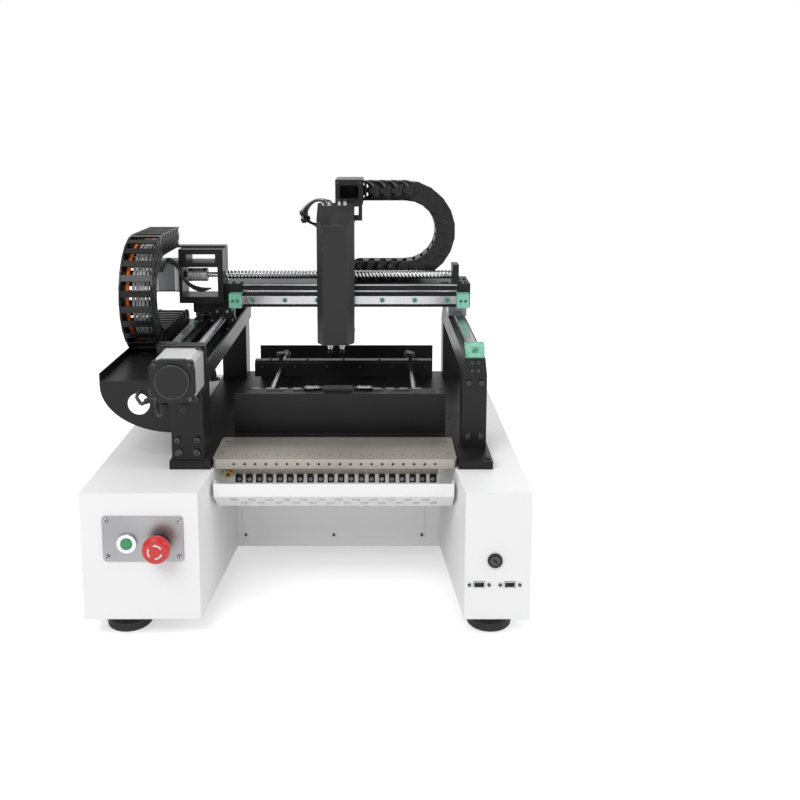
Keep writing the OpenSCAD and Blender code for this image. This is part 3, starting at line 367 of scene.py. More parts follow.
def edge_wear_group():
    """Rounded normals near edges, and a mask of rubbed edges broken up by a patchy noise.

    The mask is how far the rounded normal leans from the flat one, times a noise.
    """
    tree, enter, leave = new_group(
        "edge wear",
        [("Radius", "NodeSocketFloat", 0.0006), ("Amount", "NodeSocketFloat", 1.0)],
        [("Mask", "NodeSocketFloat"), ("Normal", "NodeSocketVector")],
    )
    n = tree.nodes
    bevel = n.new("ShaderNodeBevel")
    bevel.samples = 4
    link(tree, enter.outputs["Radius"], bevel.inputs["Radius"])
    geometry = n.new("ShaderNodeNewGeometry")
    dot = n.new("ShaderNodeVectorMath")
    dot.operation = "DOT_PRODUCT"
    link(tree, bevel.outputs[0], dot.inputs[0])
    link(tree, geometry.outputs["Normal"], dot.inputs[1])
    lean = maths(tree, "SUBTRACT", 1.0, dot.outputs["Value"])
    where = n.new("ShaderNodeTexCoord")
    noise = n.new("ShaderNodeTexNoise")
    noise.inputs["Scale"].default_value = 90
    noise.inputs["Detail"].default_value = 4
    link(tree, where.outputs["Object"], noise.inputs["Vector"])
    patch = maths(tree, "MULTIPLY", maths(tree, "SUBTRACT", noise.outputs["Fac"], 0.42), 5.0, clamp=True)
    mask = maths(tree, "MULTIPLY", maths(tree, "MULTIPLY", lean, 6.0, clamp=True), patch)
    link(tree, maths(tree, "MULTIPLY", mask, enter.outputs["Amount"], clamp=True), leave.inputs["Mask"])
    link(tree, bevel.outputs[0], leave.inputs["Normal"])
    return tree


def grain_group():
    """A fine grain and slow clouds on object coordinates, each from 0 to 1; Stretch draws the grain out."""
    tree, enter, leave = new_group(
        "surface grain",
        [
            ("Stretch", "NodeSocketVector", (1, 1, 1)), ("Scale", "NodeSocketFloat", 900.0),
            ("Cloud Scale", "NodeSocketFloat", 9.0)
        ],
        [("Grain", "NodeSocketFloat"), ("Cloud", "NodeSocketFloat")],
    )
    n = tree.nodes
    where = n.new("ShaderNodeTexCoord")
    draw = n.new("ShaderNodeVectorMath")
    draw.operation = "MULTIPLY"
    link(tree, where.outputs["Object"], draw.inputs[0])
    link(tree, enter.outputs["Stretch"], draw.inputs[1])
    fine = n.new("ShaderNodeTexNoise")
    fine.inputs["Detail"].default_value = 3
    fine.inputs["Roughness"].default_value = 0.65
    link(tree, draw.outputs[0], fine.inputs["Vector"])
    link(tree, enter.outputs["Scale"], fine.inputs["Scale"])
    cloud = n.new("ShaderNodeTexNoise")
    cloud.inputs["Detail"].default_value = 5
    link(tree, where.outputs["Object"], cloud.inputs["Vector"])
    link(tree, enter.outputs["Cloud Scale"], cloud.inputs["Scale"])
    link(tree, fine.outputs["Fac"], leave.inputs["Grain"])
    link(
        tree,
        maths(tree, "MULTIPLY", maths(tree, "SUBTRACT", cloud.outputs["Fac"], 0.3), 2.4, clamp=True),
        leave.inputs["Cloud"]
    )
    return tree


def dust_group():
    """A thin film of dust on faces that look up, thicker in soft patches."""
    tree, enter, leave = new_group(
        "settled dust", [("Amount", "NodeSocketFloat", 0.2)], [("Mask", "NodeSocketFloat")]
    )
    n = tree.nodes
    geometry = n.new("ShaderNodeNewGeometry")
    split = n.new("ShaderNodeSeparateXYZ")
    link(tree, geometry.outputs["Normal"], split.inputs[0])
    up = maths(tree, "MULTIPLY", maths(tree, "SUBTRACT", split.outputs["Z"], 0.5), 2.0, clamp=True)
    where = n.new("ShaderNodeTexCoord")
    noise = n.new("ShaderNodeTexNoise")
    noise.inputs["Scale"].default_value = 26
    noise.inputs["Detail"].default_value = 8
    link(tree, where.outputs["Object"], noise.inputs["Vector"])
    patch = maths(tree, "MULTIPLY", maths(tree, "SUBTRACT", noise.outputs["Fac"], 0.35), 2.0, clamp=True)
    link(
        tree, maths(tree, "MULTIPLY", maths(tree, "MULTIPLY", up, patch), enter.outputs["Amount"]),
        leave.inputs["Mask"]
    )
    return tree


GROUPS = {}
FINISHES = {}


def use_group(tree, name):
    """Places one of the shared groups in a material; it is built at its first use."""
    build = {"edge wear": edge_wear_group, "surface grain": grain_group, "settled dust": dust_group}
    if name not in GROUPS:
        GROUPS[name] = build[name]()
    node = tree.nodes.new("ShaderNodeGroup")
    node.node_tree = GROUPS[name]
    return node


def finish(
    name, colour, shade=None, rough=(0.4, 0.5), metal=0.0, grain=900, stretch=(1, 1, 1), cloud=9,
    bump=0.02, wear=0.0, bare=(0.5, 0.5, 0.5), edge=0.0006, dust=0.0, specular=0.5, coat=0.0, glow=0.0,
):  # fmt: skip
    """A surface finish: clouds of two near colours, a grain that moves the roughness and the bump, rubbed
    edges that show the bare stuff, and a little dust on top."""
    if name in FINISHES:
        return FINISHES[name]
    shade = shade or tuple(c * 0.86 for c in colour)
    mat = bpy.data.materials.new(name)
    mat.use_nodes = True
    tree = mat.node_tree
    shader = tree.nodes["Principled BSDF"]
    body = use_group(tree, "surface grain")
    body.inputs["Stretch"].default_value = stretch
    body.inputs["Scale"].default_value = grain
    body.inputs["Cloud Scale"].default_value = cloud
    rim = use_group(tree, "edge wear")
    rim.inputs["Radius"].default_value = edge
    rim.inputs["Amount"].default_value = wear
    mix = maths(
        tree, "ADD", maths(tree, "MULTIPLY", body.outputs["Cloud"], 0.7),
        maths(tree, "MULTIPLY", body.outputs["Grain"], 0.3)
    )
    paint = blend_colours(tree, mix, colour, shade)
    if wear:
        paint = blend_colours(tree, rim.outputs["Mask"], paint, bare)
    if dust:
        film = use_group(tree, "settled dust")
        film.inputs["Amount"].default_value = dust
        paint = blend_colours(tree, film.outputs["Mask"], paint, (0.42, 0.4, 0.37))
    link(tree, paint, shader.inputs["Base Color"])
    span = rough[1] - rough[0]
    link(tree, maths(tree, "ADD", maths(tree, "MULTIPLY", mix, span), rough[0]), shader.inputs["Roughness"])
    shader.inputs["Metallic"].default_value = metal
    shader.inputs["Specular IOR Level"].default_value = specular
    shader.inputs["Coat Weight"].default_value = coat
    shader.inputs["Coat Roughness"].default_value = 0.12
    dent = tree.nodes.new("ShaderNodeBump")
    dent.inputs["Strength"].default_value = bump
    dent.inputs["Distance"].default_value = 0.0004
    link(tree, body.outputs["Grain"], dent.inputs["Height"])
    link(tree, rim.outputs["Normal"], dent.inputs["Normal"])
    link(tree, dent.outputs["Normal"], shader.inputs["Normal"])
    if glow:
        shader.inputs["Subsurface Weight"].default_value = glow
        shader.inputs["Subsurface Radius"].default_value = (0.4, 1.0, 0.7)
        shader.inputs["Subsurface Scale"].default_value = 0.004
    FINISHES[name] = mat
    return mat


def powder_white():
    return finish(
        "white powder coat", (0.88, 0.88, 0.88), (0.85, 0.85, 0.855), (0.42, 0.52), grain=2600,
        bump=0.10, cloud=3, dust=0.03, edge=0.0012
    )


def brushed_sheet():
    return finish(
        "brushed sheet steel", (0.42, 0.42, 0.43), (0.30, 0.30, 0.31), (0.34, 0.5), 0.9, 700,
        (1, 1, 14), bump=0.06
    )


def anodised_black():
    return finish(
        "black anodised aluminium", (0.006, 0.006, 0.007), (0.012, 0.012, 0.013), (0.3, 0.42), 0.0,
        1800, bump=0.05, wear=0.5, bare=(0.12, 0.12, 0.125), dust=0.03, specular=0.28
    )


def black_paint():
    return finish(
        "black paint on sheet", (0.006, 0.006, 0.0065), (0.011, 0.011, 0.0115), (0.34, 0.46), 0.0, 2200,
        bump=0.08, wear=0.3, bare=(0.1, 0.1, 0.1), dust=0.04, specular=0.3
    )


def cover_paint():
    return finish(
        "dark cover paint", (0.022, 0.022, 0.023), (0.03, 0.03, 0.0315), (0.34, 0.42), 0.0, 2000,
        bump=0.06, wear=0.8, bare=(0.22, 0.22, 0.23), edge=0.0012, specular=0.3
    )


def sandblasted():
    return finish(
        "sand-blasted aluminium", (0.50, 0.47, 0.43), (0.43, 0.40, 0.37), (0.42, 0.55), 0.75, 2400,
        bump=0.35, cloud=14, wear=0.5, bare=(0.75, 0.73, 0.7)
    )


def ground_steel():
    return finish(
        "ground rail steel", (0.62, 0.62, 0.63), (0.50, 0.50, 0.51), (0.14, 0.26), 1.0, 500, (1, 1, 1),
        bump=0.02
    )


def block_steel():
    return finish(
        "bearing block steel", (0.30, 0.31, 0.32), (0.22, 0.23, 0.24), (0.28, 0.42), 0.9, 900,
        bump=0.04, wear=0.6, bare=(0.6, 0.6, 0.6)
    )


def screw_steel():
    return finish(
        "blackened screw steel", (0.10, 0.10, 0.105), (0.06, 0.06, 0.063), (0.25, 0.38), 0.9, 1500,
        bump=0.05, wear=0.8, bare=(0.45, 0.45, 0.45), edge=0.0003
    )


def zinc_steel():
    return finish(
        "zinc-plated screw steel", (0.55, 0.55, 0.56), (0.42, 0.42, 0.44), (0.2, 0.34), 1.0, 1200,
        bump=0.04, edge=0.0003
    )


def chrome():
    return finish(
        "chrome", (0.72, 0.72, 0.73), (0.64, 0.64, 0.65), (0.06, 0.12), 1.0, 800, bump=0.01, edge=0.0003
    )


def brass():
    return finish(
        "nickel-plated brass", (0.72, 0.55, 0.26), (0.58, 0.43, 0.2), (0.18, 0.3), 1.0, 900, bump=0.03
    )


def black_plastic():
    return finish(
        "black moulded plastic", (0.006, 0.006, 0.0065), (0.011, 0.011, 0.0115), (0.36, 0.48), 0.0,
        1700, bump=0.10, dust=0.03, specular=0.35
    )


def chain_plastic():
    return finish(
        "black chain nylon", (0.006, 0.006, 0.0065), (0.011, 0.011, 0.0115), (0.28, 0.4), 0.0, 1400,
        bump=0.06, wear=0.6, bare=(0.09, 0.09, 0.09), dust=0.02, edge=0.0004, specular=0.35
    )


def foot_rubber():
    return finish(
        "foot rubber", (0.014, 0.014, 0.014), (0.024, 0.024, 0.024), (0.55, 0.7), 0.0, 1300, bump=0.14,
        dust=0.15
    )


def green_urethane():
    return finish(
        "green urethane", (0.20, 0.52, 0.38), (0.28, 0.62, 0.47), (0.2, 0.34), 0.0, 600, bump=0.05,
        glow=0.5
    )


def motor_silver():
    return finish(
        "silver motor casting", (0.66, 0.66, 0.66), (0.56, 0.56, 0.565), (0.34, 0.48), 0.35, 1600,
        bump=0.1
    )


def motor_grey():
    return finish(
        "grey motor laminations", (0.15, 0.155, 0.16), (0.2, 0.205, 0.21), (0.34, 0.5), 0.6, 1400,
        (8, 1, 1), bump=0.12
    )


def green_lens():
    return finish(
        "green lens", (0.005, 0.20, 0.07), (0.01, 0.28, 0.1), (0.08, 0.16), 0.0, 500, bump=0.01,
        coat=0.6, glow=0.2
    )


def red_plastic():
    return finish(
        "red mushroom plastic", (0.62, 0.008, 0.008), (0.5, 0.006, 0.006), (0.18, 0.3), 0.0, 900,
        bump=0.03, coat=0.4
    )


def circuit_green():
    return finish(
        "green circuit laminate", (0.01, 0.12, 0.03), (0.008, 0.09, 0.02), (0.2, 0.35), 0.0, 600,
        bump=0.05, coat=0.3
    )


def supply_metal():
    return finish(
        "perforated supply case", (0.55, 0.55, 0.56), (0.46, 0.46, 0.47), (0.3, 0.45), 0.9, 1100,
        bump=0.05
    )


def pump_metal():
    return finish(
        "cast pump housing", (0.12, 0.12, 0.13), (0.17, 0.17, 0.18), (0.4, 0.55), 0.7, 1500, bump=0.2
    )


def thread_steel():
    return finish(
        "rolled screw steel", (0.60, 0.60, 0.61), (0.46, 0.46, 0.47), (0.16, 0.28), 1.0, 700, bump=0.03
    )


def cap_green():
    return finish(
        "green rail cap plastic", (0.01, 0.34, 0.20), (0.01, 0.28, 0.16), (0.3, 0.42), 0.0, 900,
        bump=0.04
    )


def cable_orange():
    return finish(
        "orange cable sheath", (0.78, 0.16, 0.01), (0.66, 0.12, 0.01), (0.34, 0.46), 0.0, 800, bump=0.05
    )


# Grey sheath of the side chain cables; on two head hoses this grey is painted highlight.
def grey_sheath_and_hose_highlight():
    return finish(
        "grey cable sheath and painted hose highlight", (0.50, 0.50, 0.51), (0.40, 0.40, 0.41), (0.34, 0.46), 0.0, 800, bump=0.05
    )


def cable_black():
    return finish(
        "black cable sheath", (0.014, 0.014, 0.015), (0.024, 0.024, 0.025), (0.26, 0.4), 0.0, 800,
        bump=0.05
    )


def white_ink():
    return finish(
        "white filled marks", (0.78, 0.78, 0.78), (0.70, 0.70, 0.70), (0.3, 0.4), 0.0, 900, bump=0.03
    )


# ---------- Finishes of the frame ----------


class PLACER_OT_frame_finishes(bpy.types.Operator):
    """Gives every frame node its finish."""

    bl_idname = "placer.frame_finishes"
    bl_label = "Frame finishes"

    def execute(self, context):
        by_finish = {
            powder_white: ["base_shell", "gap_panel", "tape_tray"],
            brushed_sheet: ["bottom_cover", "control_plate"],
            anodised_black: [
                "bed_plate", "frame_posts", "side_beams", "y_screw_supports", "gantry_beam",
                "left_carriage", "x_screw_supports", "x_chain_bracket", "board_plates",
                "moving_board_rail", "head_carriage", "fixed_board_rail"
            ],
            black_paint: ["chain_tray"],
            cover_paint: ["head_cover"],
            sandblasted: ["feeder_plate", "connector_bar"],
            ground_steel: [
                "y_rails", "x_rail", "y_screw", "x_screw", "guide_rods", "left_nozzle", "right_nozzle",
                "estop_stem", "usb_ports"
            ],
            block_steel: ["y_carriages", "left_nozzle_slide", "right_nozzle_slide"],
            screw_steel: ["cover_screws", "key_barrel"],
            zinc_steel: ["foot_cups"],
            chrome: ["start_bezel"],
            brass: ["air_fitting"],
            black_plastic: ["feeder_connectors", "estop_body", "key_switch_body", "power_inlet", "z_drive"],
            chain_plastic: [
                "y_chain_lower_run", "y_chain_bend", "y_chain_upper_run", "x_chain_lower_run",
                "x_chain_bend", "x_chain_upper_run"
            ],
            foot_rubber: ["foot_pads"],
            green_urethane: ["x_bumpers"],
            motor_silver: ["y_motor_body"],
            motor_grey: ["x_motor"],
            green_lens: ["start_button"],
            red_plastic: ["estop_head"],
            supply_metal: ["power_supply"],
            circuit_green: ["control_board"],
            pump_metal: ["vacuum_pump"],
        }
        for make, names in by_finish.items():
            for name in names:
                mesh = NODES[name].data
                mesh.materials.clear()
                mesh.materials.append(make())
        return {"FINISHED"}


# ---------- Fasteners ----------


def screw_rows(parts, places, axis, d=8.5, h=5.0):
    """Adds socket screws at each place, standing out along the axis."""
    for k, p in enumerate(places):
        a = 0.7 * k
        x_axis = (math.cos(a), math.sin(a), 0) if abs(axis[2]) > 0.5 else (
            math.cos(a) * abs(axis[1]), math.cos(a) * abs(axis[0]), math.sin(a)
        )
        parts.place(socket_screw(d, h), p, x_axis, axis)
    return parts


class PLACER_OT_fasteners(bpy.types.Operator):
    """Socket screws on the posts, beams, brackets, motors and panels."""

    bl_idname = "placer.fasteners"
    bl_label = "Fasteners"

    def execute(self, context):
        post_lo, post_hi = lo_hi("frame_posts")
        beam_top = lo_hi("side_beams")[1][2]
        left_face, right_face, rear = post_lo[1], RIGHT_POST_FRONT, post_hi[1]
        small = Parts()
        screw_rows(small, [(x, left_face, z) for x in (-199, -169) for z in (248, 268, 332)], FRONT)
        screw_rows(small, [(x, right_face, z) for x in (243, 263) for z in (255, 341)], FRONT)
        screw_rows(small, [(x, rear, z) for x in (-199, -169, 243, 263) for z in (249, 340)], BACK)
        screw_rows(
            small, [(x, right_face, z) for x, z in ((248, 373), (258, 373), (248, 360), (258, 360))],
            FRONT, 6, 3
        )
        plate_lo = lo_hi("y_screw_supports")[0]
        mid = (plate_lo[0] + 33, 381)
        screw_rows(
            small,
            [(mid[0] + sx * 27.5, plate_lo[1], mid[1] + sz * 27.5) for sx in (-1, 1) for sz in (-1, 1)],
            FRONT, 6, 3.4
        )
        screw_rows(small, [(x, y, beam_top) for x in (-213, -157) for y in (-198, -175)], UP, 7, 4)
        bed_lo, bed_hi = lo_hi("bed_plate")
        screw_rows(
            small,
            [
                (x, y, bed_hi[2]) for x in (bed_lo[0] + 9, bed_hi[0] - 6)
                for y in (bed_lo[1] + 12, 60, bed_hi[1] - 12)
            ],
            UP, 9, 3
        )
        small.make("frame_screws", screw_steel(), "base", "screw_steel")

        panel = Parts()
        lo, hi = lo_hi("control_plate")
        screw_rows(
            panel, [(x, lo[1], z) for x in (lo[0] + 6, hi[0] - 6) for z in (lo[2] + 6, hi[2] - 6)],
            FRONT, 6, 1.8
        )
        lo, hi = lo_hi("usb_ports")
        middle = (lo[2] + hi[2]) / 2
        screw_rows(
            panel, [(x + s * 14.5, SHELL_FRONT, middle) for x in USB_X for s in (-1, 1)], FRONT, 5.4,
            1.6
        )
        lo, hi = lo_hi("base_shell")
        screw_rows(
            panel,
            [
                (x, hi[1], z) for x in (lo[0] + 16, -110, 100, hi[0] - 16)
                for z in (lo[2] + 12, hi[2] - 12)
            ],
            BACK, 7, 2
        )
        panel.make("panel_screws", zinc_steel(), "base", "screw_steel")

        moving = Parts()
        beam_lo = lo_hi("gantry_beam")[0]
        screw_rows(
            moving, [(x, beam_lo[1], beam_lo[2] + 5) for x in (-112, -52, 68, 128, 188)], FRONT, 4.6,
            1.6
        )
        screw_rows(moving, [(x, GANTRY_Y + 8, BEAM_TOP) for x in (-165, -150, 225, 232)], UP, 6, 3)
        carriage_lo = lo_hi("left_carriage")[0]
        screw_rows(
            moving,
            [(x, carriage_lo[1], z) for x, z in ((-236, 421), (-222, 421), (-196, 420), (-183, 420))],
            FRONT, 6, 3.4
        )
        lo, hi = lo_hi("x_motor")
        screw_rows(
            moving,
            [
                (hi[0] - 0.2, (lo[1] + hi[1]) / 2 + sy * 23.5, (lo[2] + hi[2]) / 2 + sz * 23.5)
                for sy in (-1, 1) for sz in (-1, 1)
            ],
            (1, 0, 0), 5, 2
        )
        screw_rows(
            moving,
            [
                (lo[0], (lo[1] + hi[1]) / 2 + sy * 23.5, (lo[2] + hi[2]) / 2 + sz * 23.5)
                for sy in (-1, 1) for sz in (-1, 1)
            ],
            (-1, 0, 0), 5, 2
        )
        screw_rows(moving, [(x, y, BEAM_TOP) for x in (258, 268) for y in (150, 188)], UP, 7, 3)
        moving.make("gantry_screws", screw_steel(), "gantry", "screw_steel")

        head = Parts()
        lo, hi = lo_hi("head_cover")
        for side, x in ((-1, lo[0]), (1, hi[0])):
            screw_rows(
                head, [(x, 97, z) for z in (lo[2] + 18, lo[2] + 120, hi[2] - 30)], (side, 0, 0), 5, 1.2
            )
        lo, hi = lo_hi("x_chain_bracket")
        screw_rows(
            head, [(x, lo[1], z) for x in (lo[0] + 4.5, hi[0] - 4.5) for z in (hi[2] - 5, hi[2] - 37)],
            FRONT, 4.6, 2
        )
        head.make("head_screws", screw_steel(), "head", "screw_steel")
        return {"FINISHED"}


class PLACER_OT_rail_caps(bpy.types.Operator):
    """Green plastic caps pressed into the screw holes of the three rails."""

    bl_idname = "placer.rail_caps"
    bl_label = "Rail caps"

    def execute(self, context):
        cap = turned([(0, -1.2), (3.4, -1.2), (3.4, 0.05), (3.0, 0.35), (0, 0.1)], 20)
        rim = turned([(3.5, -0.2), (4.6, -0.2), (4.6, 0.06), (3.5, 0.06), (3.5, -0.2)], 20)
        lo, hi = lo_hi("x_rail")
        caps, rims = Parts(), Parts()
        for x in np.arange(-128.3, hi[0], 60):
            place = (x, lo[1], (lo[2] + hi[2]) / 2)
            caps.place(cap, place, z_axis=FRONT)
            rims.place(rim, place, z_axis=FRONT)
        caps.make("gantry_rail_caps", cap_green(), "gantry", "green_rubber")
        rims.make("gantry_rail_seats", block_steel(), "gantry", "block_steel")
        lo, hi = lo_hi("y_rails")
        caps, rims = Parts(), Parts()
        for x in (lo[0] + 7.5, hi[0] - 7.5):
            for y in np.arange(lo[1] + 20, hi[1], 60):
                caps.place(cap, (x, y, hi[2]))
                rims.place(rim, (x, y, hi[2]))
        caps.make("side_rail_caps", cap_green(), "base", "green_rubber")
        rims.make("side_rail_seats", block_steel(), "base", "block_steel")
        return {"FINISHED"}


# ---------- Ball screws ----------


def screw_surface(sections, lead, starts, depth, start, end, along, spin=0.0):
    """A shaft along X with ball grooves between start and end.

    radius(x, v) = section(x) - depth * groove(phase), phase = starts * v / turn - starts * x / lead, where the
    groove is a rounded notch in the last two fifths of each phase; its depth fades out at both ends.
    """
    steps = 28
    v = np.arange(steps) * TAU / steps
    x = np.concatenate([np.arange(start, end, along), [s[0] for s in sections]])
    x = np.unique(np.round(x, 4))
    radius = np.interp(x, [s[0] for s in sections], [s[1] for s in sections])
    phase = (starts * (v[None, :] + spin) / TAU - starts * x[:, None] / lead) % 1.0
    notch = np.sin(np.clip((phase - 0.3) / 0.7, 0, 1) * math.pi) ** 1.4
    fade = np.clip((x - start) / 3, 0, 1) * np.clip((end - x) / 3, 0, 1)
    r = radius[:, None] - depth * notch * fade[:, None]
    points = np.stack([np.repeat(x[:, None], steps, 1), r * np.cos(v), r * np.sin(v)], -1).reshape(-1, 3)
    faces = grid_faces(len(x), steps, wrap_cols=True)[:, ::-1]
    n = len(points)
    points = np.vstack([points, [[x[0], 0, 0], [x[-1], 0, 0]]])
    a = np.arange(steps)
    b = (a + 1) % steps
    last = (len(x) - 1) * steps
    return points, [
        faces, np.stack([b, a, np.full(steps, n)], -1),
        np.stack([a + last, b + last, np.full(steps, n + 1)], -1)
    ]


class PLACER_OT_ball_screws(bpy.types.Operator):
    """The two rolled ball screws with their grooves, journals and clamping couplings."""

    bl_idname = "placer.ball_screws"
    bl_label = "Ball screws"

    def execute(self, context):
        lo, hi = lo_hi("x_screw")
        near, far = X_THREAD
        step = 0.02
        sections = [
            (lo[0], 4), (lo[0] + 24 - step, 4), (lo[0] + 24, 4), (near - step, 5), (near, 8), (far, 8),
            (far + step, 5), (hi[0], 5)
        ]
        axis = [(lo[1] + hi[1]) / 2, (lo[2] + hi[2]) / 2]
        shaft = Parts()
        points, faces = screw_surface(sections, 20, 3, 1.5, near, far, 0.55)
        shaft.add(points + [0, axis[0], axis[1]], faces)
        shaft.make(
            "gantry_ball_screw", thread_steel(), "x_screw", "rail_steel", replaces=["x_screw"], sharp=60
        )
        coupling = Parts()
        c0, c1 = X_COUPLING
        for r, a, b in (
            (12.4, c0, c0 + 10), (12.4, c0 + 11, c0 + 16), (12.4, c0 + 17, c0 + 22), (12.4, c0 + 23, c1)
        ):
            coupling.place(
                turned(
                    [(0, 0), (r - 0.8, 0), (r, 0.8), (r, b - a - 0.8), (r - 0.8, b - a), (0, b - a)], 36
                ),
                (a, *axis), (0, 1, 0), (1, 0, 0)
            )
        coupling.place(
            turned([(0, 0), (10.6, 0), (10.6, c1 - c0 - 2), (0, c1 - c0 - 2)], 24), (c0 + 1, *axis),
            (0, 1, 0), (1, 0, 0)
        )
        coupling.make("gantry_coupling", motor_silver(), "x_screw", "rail_steel")
        bolts = Parts()
        for x in (c0 + 5, c1 - 5):
            for s in (-1, 1):
                bolts.place(
                    socket_screw(4.6, 1.2), (x, axis[0] + s * 7.5, axis[1] + 9.6), (1, 0, 0),
                    (0, s * 0.6, 0.8)
                )
        bolts.make("gantry_coupling_screws", screw_steel(), "x_screw", "screw_steel")

        lo, hi = lo_hi("y_screw")
        near, far = Y_THREAD
        sections = [
            (lo[1], 4), (lo[1] + 20, 4), (near - step, 5), (near, 8), (far, 8), (far + step, 5),
            (hi[1], 5)
        ]
        axis = [(lo[0] + hi[0]) / 2, (lo[2] + hi[2]) / 2]
        shaft = Parts()
        points, faces = screw_surface(sections, 20, 3, 1.5, near, far, 0.55)
        turned_points = np.stack([-points[:, 1], points[:, 0], points[:, 2]], -1)
        shaft.add(turned_points + [axis[0], 0, axis[1]], faces)
        shaft.make("side_ball_screw", thread_steel(), "y_screw", "rail_steel", replaces=["y_screw"], sharp=60)
        coupling = Parts()
        c0, c1 = Y_COUPLING
        for a, b in ((c0, c0 + 12), (c0 + 13, c0 + 17), (c0 + 18, c1)):
            coupling.place(
                turned(
                    [(0, 0), (12.2, 0), (13, 0.8), (13, b - a - 0.8), (12.2, b - a), (0, b - a)], 36
                ),
                (axis[0], a, axis[1]), (1, 0, 0), (0, 1, 0)
            )
        coupling.place(
            turned([(0, 0), (11, 0), (11, c1 - c0 - 2), (0, c1 - c0 - 2)], 24),
            (axis[0], c0 + 1, axis[1]), (1, 0, 0), (0, 1, 0)
        )
        coupling.make("side_coupling", motor_silver(), "y_screw", "rail_steel")

        nut = Parts()
        for k in range(6):
            a = k * TAU / 6
            nut.place(
                socket_screw(5.2, 2.4),
                (axis[0] + 19 * math.cos(a), GANTRY_Y - 9.4, axis[1] + 19 * math.sin(a)), z_axis=FRONT
            )
        nut.place(
            turned([(0, 0), (3, 0), (3, 3), (2, 4), (2, 6), (2.6, 7), (1.2, 9), (0, 9)], 16),
            (axis[0] + 17, GANTRY_Y - 5, axis[1] + 17), (0, 1, 0), (1, 0, 1)
        )
        nut.make("side_nut_fittings", zinc_steel(), "gantry", "screw_steel")
        return {"FINISHED"}


# ---------- Cable chains ----------


def arc_path(centre, radius, across, steps=40):
    """Half a circle of that radius in the plane of the two across directions, from below the centre to above it."""
    a = np.linspace(-math.pi / 2, math.pi / 2, steps)
    out, up = np.array(across[0], float), np.array(across[1], float)
    return np.array(centre, float) + radius * (np.cos(a)[:, None] * out + np.sin(a)[:, None] * up)


def hinge_boss():
    """A hinge pin's round head with a dimple: a low dome with a ring groove."""
    return turned(
        [
            (0, -0.6), (5.2, -0.6), (5.2, 0.5), (4.6, 0.9), (3.4, 0.9), (3.1, 0.45), (2.6, 0.45),
            (2.3, 0.9), (0.9, 0.9), (0.7, 0.3), (0, 0.3)
        ],
        16
    )


def leaf_rim():
    """The raised rim of a link's round leaf: a thin rod bent to five twelfths of a circle about the hinge."""
    a = np.linspace(-1.3, 1.3, 15)
    return tube(np.stack([16.9 * np.cos(a), 16.9 * np.sin(a), 0 * a], -1), 0.65, 6)


def chain_details(parts, hinges, towards, middle, width, turn):
    """Adds pin heads, leaf rims and cross lids to the links that start at the given hinges.

    towards gives each link's own direction. Two equal lids lie across each link, one on either side.
    """
    boss, rim = hinge_boss(), leaf_rim()
    side = np.zeros(3)
    side[turn] = 1
    for p, d in zip(hinges, towards):
        place, d = np.array(p, float), np.array(d, float)
        place[turn] = middle
        out = np.cross(d, side)
        for sign in (-1, 1):
            face = place + side * sign * width / 2
            parts.place(boss, face, d, side * sign)
            parts.place(rim, face, -d, side * sign)
        for level in (1, -1):
            half = width / 2 - LID_INSET
            corner = np.array([[x, y, z] for x in LID_X for y in (-half, half) for z in LID_Z])
            frame_axes = np.stack([d, side, out * level])
            cube = CUBE_FACES
            if np.linalg.det(frame_axes) < 0:
                cube = cube[:, ::-1]
            parts.add(corner @ frame_axes + place, cube)


